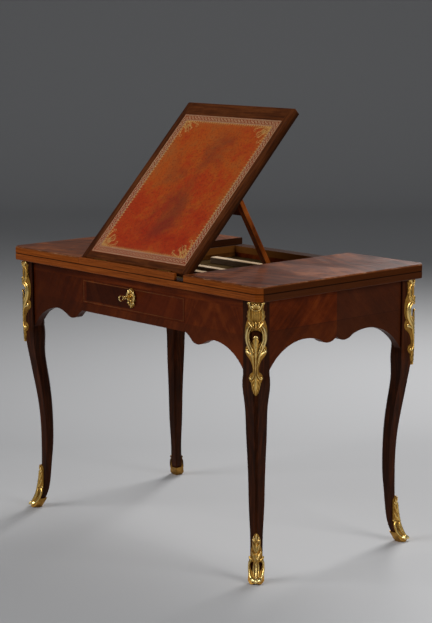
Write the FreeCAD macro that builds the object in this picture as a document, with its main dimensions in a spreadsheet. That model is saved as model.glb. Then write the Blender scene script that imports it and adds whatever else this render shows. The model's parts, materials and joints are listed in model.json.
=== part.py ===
import FreeCAD, Part
import math
import operator
import os
from collections import namedtuple
from types import SimpleNamespace

import Sketcher
from FreeCAD import Placement, Rotation, Vector

# Reading table on cabriole legs, with a tilting leather slope, a lockable drawer and gilt mounts.
# X runs to the right along the front, Y to the back and Z up. The origin is on the floor.

DRIVING = {
    # Whole table
    "table_height": 720.0,
    "table_width": 974.0,
    "table_depth": 568.0,
    # Top: two layers with canted corners
    "panel_thickness": 18.0,
    "rim_thickness": 18.0,
    "corner_cant": 16.0,
    "end_overhang": 27.0,
    "front_overhang": 13.5,
    "edge_round": 3.0,
    "edge_bevel": 1.2,
    # Slope and the fixed strip it is hinged to
    "slope_width": 410.0,
    "slope_length": 527.0,
    "slope_thickness": 17.4,
    "slope_tilt": 46.1,
    "slope_side_gap": 0.6,
    "slope_offset": 13.0,
    "stile_width": 20.5,
    "lower_rail_width": 21.0,
    "upper_rail_width": 40.0,
    "slope_corner_round": 4.0,
    "leather_thickness": 1.2,
    "leather_sink": 0.2,
    "strip_depth": 8.0,
    "strip_notch": 33.0,
    # Butt hinges of the slope
    "hinge_length": 51.0,
    "hinge_spread": 125.0,
    "hinge_leaf": 1.2,
    "hinge_leaf_gap": 0.2,
    "knuckle_radius": 2.0,
    "hinge_pin_radius": 1.0,
    "hinge_bevel": 2.2,
    "knuckle_gap": 0.2,
    "pin_clearance": 0.05,
    # Easel that props the slope
    "strut_width": 17.0,
    "strut_depth": 12.5,
    "strut_reach": 218.9,
    "strut_lean": 60.4,
    "strut_outside": 190.0,
    "strut_pivot_along": 251.0,
    "strut_clearance": 0.4,
    "strut_pin_radius": 2.5,
    "strut_rail_width": 26.0,
    "strut_rail_offset": 20.0,
    "bracket_plate": 2.0,
    "bracket_gap": 0.4,
    "bracket_length": 18.0,
    "bracket_flange": 12.0,
    # Well under the slope, its rack and the rests for the easel's feet
    "well_half_width": 194.0,
    "well_depth": 48.0,
    "well_floor": 8.0,
    "well_wall": 10.0,
    "rack_bar_width": 22.0,
    "rack_bar_height": 15.0,
    "rack_bar_length": 300.0,
    "rack_front": 213.0,
    "rack_middle": 279.0,
    "rack_rear": 412.0,
    "foot_rest_length": 28.0,
    "foot_rest_width": 24.0,
    "foot_rest_slope": 7.5,
    "foot_rest_clearance": 0.4,
    # Carcase under the top
    "post_side": 44.0,
    "post_cant": 9.5,
    "frieze_recess": 5.0,
    "apron_thickness": 20.0,
    "top_rail_height": 22.5,
    "bottom_rail_height": 21.0,
    "front_straight_half": 204.0,
    "front_lobe_centre": 249.0,
    "front_lobe_half": 19.5,
    "front_lobe_drop": 24.5,
    "front_arch_centre": 307.0,
    "front_arch_drop": 6.0,
    "apron_end_height": 508.0,
    "end_cusp_height": 567.0,
    "end_lobe_width": 54.0,
    "end_lobe_drop": 11.5,
    "end_arch_centre": 105.0,
    "end_arch_height": 575.0,
    # Cabriole legs
    "knee_height": 505.0,
    "ankle_height": 170.0,
    "ankle_inset": 28.0,
    "toe_inset": 4.0,
    "ankle_side": 25.8,
    "pastern_side": 20.8,
    "toe_side": 22.0,
    "ankle_cant": 4.0,
    "toe_cant": 2.0,
    "toe_round": 12.0,
    # Gilt mounts on the legs
    "mount_thickness": 3.0,
    "chute_drop": 2.0,
    "chute_height": 221.0,
    "chute_half_width": 25.0,
    "sabot_height": 119.0,
    "sabot_front_height": 55.0,
    "sabot_heel_height": 25.0,
    "sabot_leaf_half_width": 13.5,
    # Drawer
    "drawer_opening_width": 404.0,
    "drawer_opening_height": 63.5,
    "drawer_gap": 0.6,
    "drawer_front": 18.0,
    "drawer_side": 9.0,
    "drawer_depth": 380.0,
    "drawer_bottom": 6.0,
    "drawer_bottom_lift": 4.0,
    "drawer_groove": 4.0,
    "drawer_side_drop": 4.0,
    "runner_width": 24.0,
    "runner_height": 14.0,
    "guide_width": 11.0,
    "guide_height": 18.0,
    "runner_gap": 0.3,
    # Lock, key and escutcheon
    "lock_width": 44.0,
    "lock_height": 38.0,
    "lock_depth": 14.0,
    "lock_let_in": 8.0,
    "lock_gap": 0.2,
    "key_drop": 22.5,
    "key_shank_radius": 2.6,
    "key_bit_radius": 8.4,
    "key_bit_thickness": 2.4,
    "key_chamber_radius": 9.0,
    "key_chamber_length": 6.0,
    "key_reach": 42.0,
    "key_bow_radius": 8.5,
    "key_bow_bar": 3.4,
    "key_collar": 1.5,
    "bolt_width": 18.0,
    "bolt_thickness": 5.0,
    "bolt_height": 15.5,
    "bolt_throw": 7.0,
    "keyhole_radius": 3.4,
    "keyhole_slot": 3.4,
    "escutcheon_width": 32.0,
    "escutcheon_height": 50.0,
    "escutcheon_thickness": 2.5,
}

OPERATIONS = {"+": operator.add, "-": operator.sub, "*": operator.mul, "/": operator.truediv}


class Size:
    """A number together with the sheet expression that gives it."""

    def __init__(self, value, text):
        self.value = value
        self.text = text

    def __add__(self, other):
        return combine(self, "+", other)

    def __radd__(self, other):
        return combine(other, "+", self)

    def __sub__(self, other):
        return combine(self, "-", other)

    def __rsub__(self, other):
        return combine(other, "-", self)

    def __mul__(self, other):
        return combine(self, "*", other)

    def __rmul__(self, other):
        return combine(other, "*", self)

    def __truediv__(self, other):
        return combine(self, "/", other)

    def __neg__(self):
        return combine(0.0, "-", self)


def as_size(number):
    """Give a plain number the form of a Size."""
    if isinstance(number, Size):
        return number
    return Size(float(number), f"({float(number)!r})")


def combine(left, sign, right):
    """Join two sizes by one arithmetic sign, in number and in expression."""
    left = as_size(left)
    right = as_size(right)
    value = OPERATIONS[sign](left.value, right.value)
    return Size(value, f"({left.text} {sign} {right.text})")


def cosine(angle):
    """Cosine of an angle in degrees."""
    return Size(math.cos(math.radians(angle.value)), f"cos({angle.text})")


def sine(angle):
    """Sine of an angle in degrees."""
    return Size(math.sin(math.radians(angle.value)), f"sin({angle.text})")


# Document and sheet of driving sizes
doc = FreeCAD.newDocument("ReadingTable")
sheet = doc.addObject("Spreadsheet::Sheet", "Sizes")
for row, (name, number) in enumerate(DRIVING.items(), start=1):
    sheet.set(f"A{row}", name)
    sheet.set(f"B{row}", str(number))
    sheet.setAlias(f"B{row}", name)
doc.recompute()
d = SimpleNamespace(**{name: Size(number, f"Sizes.{name}") for name, number in DRIVING.items()})

Arc = namedtuple("Arc", "through end")
Circle = namedtuple("Circle", "centre radius")
Frame = namedtuple("Frame", "x y z axis angle")
nodes = []


def bind(thing, **sizes):
    """Tie properties of an object to the sheet."""
    for path, amount in sizes.items():
        thing.setExpression(path.replace("__", "."), as_size(amount).text)


def seat(thing, frame):
    """Move an object to a frame and turn it there about the frame's axis."""
    thing.Placement = Placement(Vector(0, 0, 0), Rotation(frame.axis, 1.0))
    bind(
        thing,
        Placement__Base__x=frame.x,
        Placement__Base__y=frame.y,
        Placement__Base__z=frame.z,
        Placement__Rotation__Angle=frame.angle,
    )


def flat(point):
    """A sketch point as a vector."""
    return Vector(as_size(point[0]).value, as_size(point[1]).value, 0.0)


def pin_down(sketch, element, vertex, point):
    """Hold one vertex of a sketch at two bound distances from the sketch's origin."""
    for kind, amount in zip(("DistanceX", "DistanceY"), point):
        amount = as_size(amount)
        index = sketch.addConstraint(Sketcher.Constraint(kind, -1, 1, element, vertex, amount.value))
        sketch.setExpression(f"Constraints[{index}]", amount.text)


def draw_circle(sketch, circle):
    """Draw a circle with a bound centre and radius."""
    radius = as_size(circle.radius)
    shape = Part.Circle(flat(circle.centre), Vector(0, 0, 1), radius.value)
    element = sketch.addGeometry(shape, False)
    pin_down(sketch, element, 3, circle.centre)
    index = sketch.addConstraint(Sketcher.Constraint("Radius", element, radius.value))
    sketch.setExpression(f"Constraints[{index}]", radius.text)


def draw(sketch, corners):
    """Draw a closed outline. Each corner ends a straight side or, as an Arc, a curved one."""
    if isinstance(corners, Circle):
        draw_circle(sketch, corners)
        return
    ends = [corner.end if isinstance(corner, Arc) else corner for corner in corners]
    elements = []
    for index, corner in enumerate(corners):
        start = flat(ends[index - 1])
        end = flat(ends[index])
        if isinstance(corner, Arc):
            side = Part.Arc(start, flat(corner.through), end)
        else:
            side = Part.LineSegment(start, end)
        element = sketch.addGeometry(side, False)
        forward = sketch.getPoint(element, 1).distanceToPoint(start) < 1e-4
        elements.append((element, 1, 2) if forward else (element, 2, 1))
    for index, corner in enumerate(corners):
        element, _, last = elements[index]
        following, first, _ = elements[(index + 1) % len(elements)]
        sketch.addConstraint(Sketcher.Constraint("Coincident", element, last, following, first))
        pin_down(sketch, element, last, ends[index])
        if isinstance(corner, Arc):
            mark = sketch.addGeometry(Part.Point(flat(corner.through)), True)
            pin_down(sketch, mark, 1, corner.through)
            sketch.addConstraint(Sketcher.Constraint("PointOnObject", mark, 1, element))


def sketch_on(body, name, plane, offset):
    """Start a sketch at an offset from one of the body's own planes."""
    sketch = body.newObject("Sketcher::SketchObject", name)
    base = next(item for item in body.Origin.OriginFeatures if item.Role == plane + "_Plane")
    sketch.AttachmentSupport = (base, [""])
    sketch.MapMode = "FlatFace"
    bind(sketch, AttachmentOffset__Base__z=-offset if plane == "XZ" else offset)
    return sketch


def prism(label, plane, outline, start, length, holes=(), frame=None):
    """Pad an outline from start along the third axis, with holes, and seat it in a frame."""
    body = doc.addObject("PartDesign::Body", label)
    sketch = sketch_on(body, label + "_outline", plane, as_size(start))
    draw(sketch, outline)
    for hole in holes:
        draw(sketch, hole)
    pad = body.newObject("PartDesign::Pad", label + "_pad")
    pad.Profile = sketch
    pad.Reversed = plane == "XZ"
    bind(pad, Length=length)
    sketch.Visibility = False
    if frame is not None:
        seat(body, frame)
    return body


def rectangle(low, high):
    """Four corners between two opposite ones."""
    return [low, (high[0], low[1]), high, (low[0], high[1])]


def box(label, low, high):
    """A block between two opposite corners."""
    block = doc.addObject("Part::Box", label)
    bind(
        block,
        Length=high[0] - low[0],
        Width=high[1] - low[1],
        Height=high[2] - low[2],
        Placement__Base__x=low[0],
        Placement__Base__y=low[1],
        Placement__Base__z=low[2],
    )
    return block


def rod(label, axis, start, length, radius):
    """A cylinder from a start point along X or Y."""
    cylinder = doc.addObject("Part::Cylinder", label)
    turn = {"X": Rotation(Vector(0, 1, 0), 90), "Y": Rotation(Vector(1, 0, 0), -90)}[axis]
    cylinder.Placement = Placement(Vector(0, 0, 0), turn)
    bind(
        cylinder,
        Radius=radius,
        Height=length,
        Placement__Base__x=start[0],
        Placement__Base__y=start[1],
        Placement__Base__z=start[2],
    )
    return cylinder


def fuse(label, pieces):
    """Join pieces into one solid."""
    joined = doc.addObject("Part::MultiFuse", label)
    joined.Shapes = pieces
    joined.Refine = True
    return joined


def cut(label, base, tool):
    """Take one piece out of another."""
    result = doc.addObject("Part::Cut", label)
    result.Base = base
    result.Tool = tool
    return result


def common(label, first, second):
    """Keep what two pieces share."""
    result = doc.addObject("Part::MultiCommon", label)
    result.Shapes = [first, second]
    return result


def group(label, pieces):
    """Several separate solids in one node."""
    together = doc.addObject("Part::Compound", label)
    together.Links = pieces
    return together


def mirror(label, source, axis, about=0.0):
    """The same piece on the other side of a middle plane, the table's or the slope's."""
    copy = doc.addObject("Part::Mirroring", label)
    copy.Source = source
    copy.Normal = {"X": Vector(1, 0, 0), "Y": Vector(0, 1, 0)}[axis]
    bind(copy, Base__x=about, Base__y=middle_y)
    return copy


def dress(body, kind, amount, chosen):
    """Round or bevel the edges of a body that a test picks."""
    doc.recompute()
    base = body.Tip
    names = [f"Edge{i}" for i, edge in enumerate(base.Shape.Edges, start=1) if chosen(edge.BoundBox)]
    feature = body.newObject("PartDesign::" + kind, f"{body.Name}_{kind.lower()}")
    feature.Base = (base, names)
    bind(feature, **{"Radius" if kind == "Fillet" else "Size": amount})
    return feature


def near(first, second):
    """Whether two lengths agree."""
    return abs(first - as_size(second).value) < 0.01


def keep(*things):
    """Name finished pieces as nodes."""
    nodes.extend(things)


# Levels and planes that several pieces share
half_width = d.table_width / 2.0
key_overhang = d.key_reach - d.front_overhang - d.frieze_recess
middle_y = key_overhang / 2.0
front_edge = middle_y - d.table_depth / 2.0
back_edge = middle_y + d.table_depth / 2.0
rim_top = d.table_height - d.panel_thickness
rim_bottom = rim_top - d.rim_thickness
corner_x = half_width - d.end_overhang
front_corner = front_edge + d.front_overhang
back_corner = back_edge - d.front_overhang
post_x = corner_x - d.post_side
front_post = front_corner + d.post_side
back_post = back_corner - d.post_side
face_x = corner_x - d.frieze_recess
front_face = front_corner + d.frieze_recess
back_face = back_corner - d.frieze_recess
front_inside = front_face + d.apron_thickness
back_inside = back_face - d.apron_thickness
drawer_top = rim_bottom - d.top_rail_height
drawer_floor = drawer_top - d.drawer_opening_height
rail_bottom = drawer_floor - d.bottom_rail_height
drawer_half = d.drawer_opening_width / 2.0
slope_half = d.slope_width / 2.0
gap_right = d.slope_offset + slope_half + d.slope_side_gap
gap_left = d.slope_offset - slope_half - d.slope_side_gap
well_top = d.table_height - d.well_depth


# Cabriole legs: a hexagon carried through ten heights, then straight up as the corner post
def leg_section(sketch, inset, side, cant, grow):
    """Square section with the outer and inner corners canted, set in from the carcase corner."""
    right = corner_x - inset + grow
    front = front_corner + inset - grow
    full = side + 2.0 * grow
    outline = [
        (right - cant, front),
        (right, front + cant),
        (right, front + full),
        (right - full + cant, front + full),
        (right - full, front + full - cant),
        (right - full, front),
    ]
    draw(sketch, outline)


def lower_leg(along):
    """Height, inset, side and cant between the floor (0) and the ankle (1)."""
    height = d.ankle_height * along
    inset = d.ankle_inset - (d.ankle_inset - d.toe_inset) * (1.0 - along) ** 4
    if along < 0.4:
        side = d.pastern_side + (d.toe_side - d.pastern_side) * ((0.4 - along) / 0.4) ** 2
        return height, inset, side, d.toe_cant
    rise = (along - 0.4) / 0.6
    side = d.pastern_side + (d.ankle_side - d.pastern_side) * rise ** 2
    return height, inset, side, d.toe_cant + (d.ankle_cant - d.toe_cant) * rise


def upper_leg(along):
    """Height, inset, side and cant between the ankle (0) and the knee (1)."""
    height = d.ankle_height + (d.knee_height - d.ankle_height) * along
    inset = d.ankle_inset * ((1.0 + math.cos(math.pi * along ** 1.3)) / 2.0)
    side = d.ankle_side + (d.post_side - d.ankle_side) * along ** 1.3
    return height, inset, side, d.ankle_cant + (d.post_cant - d.ankle_cant) * along ** 1.5


LOWER_STEPS = (0.0, 0.2, 0.4, 0.7)
UPPER_STEPS = (0.0, 0.2, 0.4, 0.6, 0.8, 1.0)


def leg_form(label, grow):
    """The leg, or the same form grown all round as a blank for its mounts."""
    body = doc.addObject("PartDesign::Body", label)
    sections = [lower_leg(along) for along in LOWER_STEPS] + [upper_leg(along) for along in UPPER_STEPS]
    sketches = []
    for index, (height, inset, side, cant) in enumerate(sections):
        sketch = sketch_on(body, f"{label}_section_{index}", "XY", as_size(height))
        leg_section(sketch, inset, side, cant, grow)
        sketches.append(sketch)
    loft = body.newObject("PartDesign::AdditiveLoft", label + "_cabriole")
    loft.Profile = sketches[0]
    loft.Sections = sketches[1:]
    post = body.newObject("PartDesign::Pad", label + "_post")
    post.Profile = sketches[-1]
    bind(post, Length=rim_bottom - d.knee_height)
    return body


leg_blank = leg_form("leg_blank", as_size(0.0))
mount_blank = leg_form("mount_blank", d.mount_thickness)
mount_shell = cut("mount_shell", mount_blank, leg_blank)

# Chutes on the knees: a pierced cartouche over a stem and a leaf, seen along the leg's diagonal
corner_frame = Frame(corner_x, front_corner, as_size(0.0), Vector(0, 0, 1), as_size(45.0))


def both_sides(right_side):
    """Close a right-hand half outline, listed from top to bottom, with its reflection."""
    ends = [step.end if isinstance(step, Arc) else step for step in right_side]
    left_side = []
    for index in range(len(right_side) - 1, 0, -1):
        x, z = ends[index - 1]
        step = right_side[index]
        if isinstance(step, Arc):
            left_side.append(Arc((-step.through[0], step.through[1]), (-x, z)))
        else:
            left_side.append((-x, z))
    x, z = ends[-1]
    bottom = [] if near(as_size(x).value, 0.0) else [(-x, z)]
    return right_side + bottom + left_side


chute_top = rim_bottom - d.chute_drop


def chute_point(across, down):
    """A point of the chute by fractions of its half width and height."""
    return (d.chute_half_width * across, chute_top - d.chute_height * down)


chute_outline = both_sides([
    chute_point(0.24, 0.0),
    Arc(chute_point(0.56, 0.01), chute_point(0.68, 0.07)),
    chute_point(0.76, 0.19),
    Arc(chute_point(1.02, 0.37), chute_point(0.82, 0.47)),
    Arc(chute_point(1.0, 0.53), chute_point(0.68, 0.6)),
    Arc(chute_point(0.38, 0.66), chute_point(0.3, 0.75)),
    Arc(chute_point(0.62, 0.81), chute_point(0.4, 0.87)),
    Arc(chute_point(0.3, 0.95), chute_point(0.06, 1.0)),
])
chute_opening = both_sides([
    chute_point(0.12, 0.3),
    Arc(chute_point(0.5, 0.33), chute_point(0.52, 0.38)),
    Arc(chute_point(0.46, 0.43), chute_point(0.2, 0.45)),
])
chute_window = prism(
    "chute_window", "XZ", chute_outline, d.post_side * -0.7, d.post_side * 1.27, [chute_opening], corner_frame
)
chute = common("chute_front_right", mount_shell, chute_window)

# Toes: rounded under, seen from the front of the diagonal and from its side
toe_half = d.toe_side * 0.71 + d.mount_thickness * 1.41
toe_tip = d.toe_inset * 1.41
toe_reach = d.post_side * 2.5
toe_front_view = prism("toe_front_view", "XZ", both_sides([
    (toe_reach, d.table_height),
    (toe_reach, d.toe_round),
    (toe_half, d.toe_round),
    Arc((toe_half * 0.88, d.toe_round * 0.3), (toe_half * 0.55, as_size(0.0))),
]), -toe_reach, toe_reach * 3.0, (), corner_frame)
toe_side_view = prism("toe_side_view", "YZ", [
    (toe_reach * 2.0, as_size(0.0)),
    (toe_reach * 2.0, d.table_height),
    (-toe_reach, d.table_height),
    (-toe_reach, d.toe_round * 0.75),
    (toe_tip + d.toe_round * 0.25, d.toe_round * 0.75),
    Arc((toe_tip + d.toe_round * 0.42, d.toe_round * 0.22), (toe_tip + d.toe_round * 0.85, as_size(0.0))),
], -toe_reach, toe_reach * 2.0, (), corner_frame)
toe_view = common("toe_view", toe_front_view, toe_side_view)
leg = common("leg_front_right", leg_blank, toe_view)

# Sabots: a low heel, two pierced flanks and a leaf up the front of the leg
leaf_rise = d.sabot_height - d.sabot_front_height
sabot_leaf_outline = both_sides([
    (d.sabot_leaf_half_width * 0.08, d.sabot_height),
    Arc(
        (d.sabot_leaf_half_width * 0.66, d.sabot_height - leaf_rise * 0.22),
        (d.sabot_leaf_half_width * 0.72, d.sabot_height - leaf_rise * 0.5),
    ),
    Arc(
        (d.sabot_leaf_half_width * 1.0, d.sabot_height - leaf_rise * 0.72),
        (d.sabot_leaf_half_width * 1.0, d.sabot_front_height - 1.0),
    ),
])
sabot_leaf = prism(
    "sabot_leaf", "XZ", sabot_leaf_outline, as_size(0.0), d.post_side * 1.06, (), corner_frame
)
sabot_flanks = prism("sabot_flanks", "YZ", [
    (toe_reach, as_size(0.0)),
    (toe_reach, d.sabot_heel_height),
    (d.ankle_inset * 1.38, d.sabot_heel_height),
    Arc(
        (d.ankle_inset * 1.44, (d.sabot_heel_height + d.sabot_front_height) / 2.0),
        (d.ankle_inset * 1.64, d.sabot_front_height),
    ),
    (-toe_reach, d.sabot_front_height),
    (-toe_reach, as_size(0.0)),
], -toe_reach, toe_reach * 2.0, (), corner_frame)
sabot_window = fuse("sabot_window", [sabot_leaf, sabot_flanks])
sabot_shell = common("sabot_shell", mount_shell, sabot_window)
sabot_shoe = common("sabot_shoe", sabot_shell, toe_view)


def flank_opening(side):
    """Pierced lens between the middle of the shoe and the scroll at its side."""
    outline = [
        (d.sabot_leaf_half_width * 0.48 * side, d.sabot_front_height * 0.91),
        Arc(
            (d.sabot_leaf_half_width * 0.9 * side, d.sabot_front_height * 0.85),
            (d.sabot_leaf_half_width * 0.96 * side, d.sabot_front_height * 0.69),
        ),
        Arc(
            (d.sabot_leaf_half_width * 0.88 * side, d.sabot_front_height * 0.56),
            (d.sabot_leaf_half_width * 0.56 * side, d.sabot_front_height * 0.5),
        ),
    ]
    name = "sabot_opening_right" if side > 0 else "sabot_opening_left"
    return prism(name, "XZ", outline, as_size(0.0), d.post_side * 1.35, (), corner_frame)


sabot_openings = fuse("sabot_openings", [flank_opening(1.0), flank_opening(-1.0)])
sabot = cut("sabot_front_right", sabot_shoe, sabot_openings)

for piece, stem in ((leg, "leg"), (chute, "chute"), (sabot, "sabot")):
    front_left = mirror(stem + "_front_left", piece, "X")
    back_right = mirror(stem + "_back_right", piece, "Y")
    back_left = mirror(stem + "_back_left", front_left, "Y")
    keep(piece, front_left, back_right, back_left)


# Aprons with scalloped lower edges
def front_scallop():
    """Lower edge of the front and back from the middle to the right-hand post."""
    lobe_left = d.front_lobe_centre - d.front_lobe_half
    lobe_right = d.front_lobe_centre + d.front_lobe_half
    lobe_shoulder = rail_bottom - d.front_lobe_drop * 0.78
    arch_top = rail_bottom - d.front_arch_drop
    arch_start = (d.front_arch_centre, arch_top)
    fall_x = d.front_straight_half + (lobe_left - d.front_straight_half) * 0.55
    spandrel_x = d.front_arch_centre + (post_x - d.front_arch_centre) * 0.54
    spandrel_z = arch_top - (arch_top - d.apron_end_height) * 0.24
    return [
        (d.front_straight_half, rail_bottom),
        Arc((fall_x, rail_bottom - d.front_lobe_drop * 0.33), (lobe_left, lobe_shoulder)),
        Arc((d.front_lobe_centre, rail_bottom - d.front_lobe_drop), (lobe_right, lobe_shoulder)),
        Arc(((lobe_right + d.front_arch_centre) / 2.0, arch_top - d.front_lobe_drop * 0.18), arch_start),
        Arc((spandrel_x, spandrel_z), (post_x, d.apron_end_height)),
    ]


def end_scallop():
    """Lower edge of an end from its middle cusp to the back post, as offsets from the middle."""
    lobe_end = (d.end_lobe_width, d.end_cusp_height - 2.0)
    arch = (d.end_arch_centre, d.end_arch_height)
    reach = back_post - middle_y
    drop = d.end_arch_height - d.apron_end_height
    return [
        (as_size(0.0), d.end_cusp_height),
        Arc((d.end_lobe_width * 0.54, d.end_cusp_height - d.end_lobe_drop), lobe_end),
        Arc(((d.end_lobe_width + d.end_arch_centre) / 2.0, d.end_arch_height - 2.5), arch),
        Arc((d.end_arch_centre + (reach - d.end_arch_centre) * 0.66, d.end_arch_height - drop * 0.36),
            (reach, d.apron_end_height)),
    ]


def apron_outline(scallop, top, middle):
    """An apron board: straight top, square ends and the scallop with its reflection below."""
    ends = [step.end if isinstance(step, Arc) else step for step in scallop]
    right_side = [(middle + ends[0][0], ends[0][1])]
    left_side = []
    for index, step in enumerate(scallop[1:], start=1):
        through, end = step
        right_side.append(Arc((middle + through[0], through[1]), (middle + end[0], end[1])))
        start = ends[index - 1]
        left_side.append(Arc((middle - through[0], through[1]), (middle - start[0], start[1])))
    reach = ends[-1][0]
    corners = [(middle + reach, top), (middle - reach, top), (middle - reach, ends[-1][1])]
    outline = right_side + corners + left_side[::-1]
    if near(as_size(ends[0][0]).value, 0.0):
        outline = outline[1:]
    return outline


zero = as_size(0.0)
front_bottom_rail = prism(
    "front_bottom_rail", "XZ", apron_outline(front_scallop(), drawer_floor, zero),
    front_face, d.apron_thickness,
)
back_apron = prism(
    "back_apron", "XZ", apron_outline(front_scallop(), rim_bottom, zero),
    back_inside, d.apron_thickness,
)
right_end_apron = prism(
    "right_end_apron", "YZ", apron_outline(end_scallop(), rim_bottom, middle_y),
    face_x - d.apron_thickness, d.apron_thickness,
)
left_end_apron = mirror("left_end_apron", right_end_apron, "X")
keep(front_bottom_rail, back_apron, right_end_apron, left_end_apron)

# Front rail over the drawer, with the mortise for the lock's bolt, and the panels beside the drawer
bolt_front = front_face + d.drawer_front - d.lock_let_in + 1.0
rail_board = box("rail_board", (-post_x, front_face, drawer_top), (post_x, front_inside, rim_bottom))
bolt_mortise = box(
    "bolt_mortise",
    (-d.bolt_width / 2.0 - 1.0, bolt_front - 1.0, drawer_top - 1.0),
    (d.bolt_width / 2.0 + 1.0, bolt_front + d.bolt_thickness + 1.0, drawer_top + d.bolt_throw + 3.0),
)
front_top_rail = cut("front_top_rail", rail_board, bolt_mortise)
front_right_frieze = box(
    "front_right_frieze", (drawer_half, front_face, drawer_floor), (post_x, front_inside, drawer_top)
)
front_left_frieze = mirror("front_left_frieze", front_right_frieze, "X")
keep(front_top_rail, front_right_frieze, front_left_frieze)

# Lower layer of the top: a canted rim with the well's opening and a rounded lower edge
rim_outline = [
    (half_width, front_edge + d.corner_cant),
    (half_width, back_edge - d.corner_cant),
    (half_width - d.corner_cant, back_edge),
    (-half_width + d.corner_cant, back_edge),
    (-half_width, back_edge - d.corner_cant),
    (-half_width, front_edge + d.corner_cant),
    (-half_width + d.corner_cant, front_edge),
    (half_width - d.corner_cant, front_edge),
]
well_opening = rectangle(
    (d.slope_offset - d.well_half_width, front_inside), (d.slope_offset + d.well_half_width, back_inside)
)
top_rim = prism("top_rim", "XY", rim_outline, rim_bottom, d.rim_thickness, [well_opening])
inner_limit = (d.well_half_width + d.slope_offset).value + 1.0


def on_rim_outside(bounds, level):
    """Whether an edge runs round the outside of the rim at one level."""
    flat_edge = near(bounds.ZMin, level) and near(bounds.ZMax, level)
    inside = max(abs(bounds.XMin), abs(bounds.XMax)) < inner_limit
    return flat_edge and not inside


dress(top_rim, "Fillet", d.edge_round, lambda bounds: on_rim_outside(bounds, rim_bottom))
dress(top_rim, "Chamfer", d.edge_bevel, lambda bounds: on_rim_outside(bounds, rim_top))
keep(top_rim)

# Upper layer: a figured panel on each side of the slope, which stands a little right of the middle
def panel_outline(side, inside):
    """Outline of the panel on one side, 1 for the right and -1 for the left."""
    outside = half_width * side
    shoulder = outside - d.corner_cant * side
    return [
        (inside, front_edge),
        (shoulder, front_edge),
        (outside, front_edge + d.corner_cant),
        (outside, back_edge - d.corner_cant),
        (shoulder, back_edge),
        (inside, back_edge),
    ]


def on_panel_outside(bounds, inside, level):
    """Whether an edge runs round the free sides of the panel at one level."""
    flat_edge = near(bounds.ZMin, level) and near(bounds.ZMax, level)
    beside_slope = near(bounds.XMin, inside) and near(bounds.XMax, inside)
    return flat_edge and not beside_slope


def top_panel(label, side, inside):
    """One figured panel, rounded above and bevelled below along its free sides."""
    body = prism(label, "XY", panel_outline(side, inside), rim_top, d.panel_thickness)
    dress(body, "Fillet", d.edge_round, lambda bounds: on_panel_outside(bounds, inside, d.table_height))
    dress(body, "Chamfer", d.edge_bevel, lambda bounds: on_panel_outside(bounds, inside, rim_top))
    return body


right_top_panel = top_panel("right_top_panel", 1.0, gap_right)
left_top_panel = top_panel("left_top_panel", -1.0, gap_left)
keep(right_top_panel, left_top_panel)

# Fixed strip at the front, notched at its right end, beside the slope's hinge line
axis_y = front_edge + d.strip_depth + d.hinge_leaf + d.hinge_leaf_gap / 2.0
strip_back = front_edge + d.strip_depth
strip_outline = rectangle((gap_left, front_edge), (gap_right - d.strip_notch, strip_back))
hinge_strip = prism("hinge_strip", "XY", strip_outline, rim_top, d.panel_thickness)


def on_strip_edge(bounds, side, level):
    """Whether an edge runs along the strip at one side and level."""
    level_edge = near(bounds.ZMin, level) and near(bounds.ZMax, level)
    return level_edge and near(bounds.YMin, side) and near(bounds.YMax, side)


dress(hinge_strip, "Chamfer", d.hinge_bevel,
      lambda bounds: on_strip_edge(bounds, strip_back, d.table_height))
dress(hinge_strip, "Fillet", d.edge_round,
      lambda bounds: on_strip_edge(bounds, front_edge, d.table_height))
keep(hinge_strip)

# Slope: a mitred frame with a core board and a leather face, in its own tilted frame
slope_frame = Frame(d.slope_offset, axis_y, d.table_height, Vector(1, 0, 0), d.slope_tilt)
slope_start = d.hinge_leaf + d.hinge_leaf_gap / 2.0
field_half = slope_half - d.stile_width
field_start = slope_start + d.lower_rail_width
field_end = d.slope_length - d.upper_rail_width
corner_arc_x = slope_half - d.slope_corner_round * (1.0 - math.sqrt(0.5))
corner_arc_y = d.slope_length - d.slope_corner_round * (1.0 - math.sqrt(0.5))
stile_outline = [
    (field_half, slope_start),
    (slope_half, slope_start),
    (slope_half, d.slope_length - d.slope_corner_round),
    Arc((corner_arc_x, corner_arc_y), (slope_half - d.slope_corner_round, d.slope_length)),
    (field_half, d.slope_length),
]


def slope_piece(label, outline, low, thickness, bevelled):
    """A slope piece drawn flat, with its hinge edge bevelled clear of the knuckles."""
    body = prism(label, "XY", outline, low, thickness)
    if bevelled:
        dress(body, "Chamfer", d.hinge_bevel, lambda bounds: (
            near(bounds.ZMin, 0.0) and near(bounds.ZMax, 0.0)
            and near(bounds.YMin, slope_start) and near(bounds.YMax, slope_start)
        ))
    seat(body, slope_frame)
    return body


slope_under = -d.slope_thickness
slope_right_stile = slope_piece("slope_right_stile", stile_outline, slope_under, d.slope_thickness, True)
slope_left_stile = mirror("slope_left_stile", slope_right_stile, "X", d.slope_offset)
slope_lower_rail = slope_piece(
    "slope_lower_rail", rectangle((-field_half, slope_start), (field_half, field_start)),
    slope_under, d.slope_thickness, True,
)
slope_upper_rail = slope_piece(
    "slope_upper_rail", rectangle((-field_half, field_end), (field_half, d.slope_length)),
    slope_under, d.slope_thickness, False,
)
leather_under = -d.leather_thickness - d.leather_sink
field_outline = rectangle((-field_half, field_start), (field_half, field_end))
slope_core = slope_piece(
    "slope_core", field_outline, slope_under, d.slope_thickness + leather_under, False
)
slope_leather = slope_piece("slope_leather", field_outline, leather_under, d.leather_thickness, False)
keep(slope_right_stile, slope_left_stile, slope_lower_rail, slope_upper_rail, slope_core, slope_leather)

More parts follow.
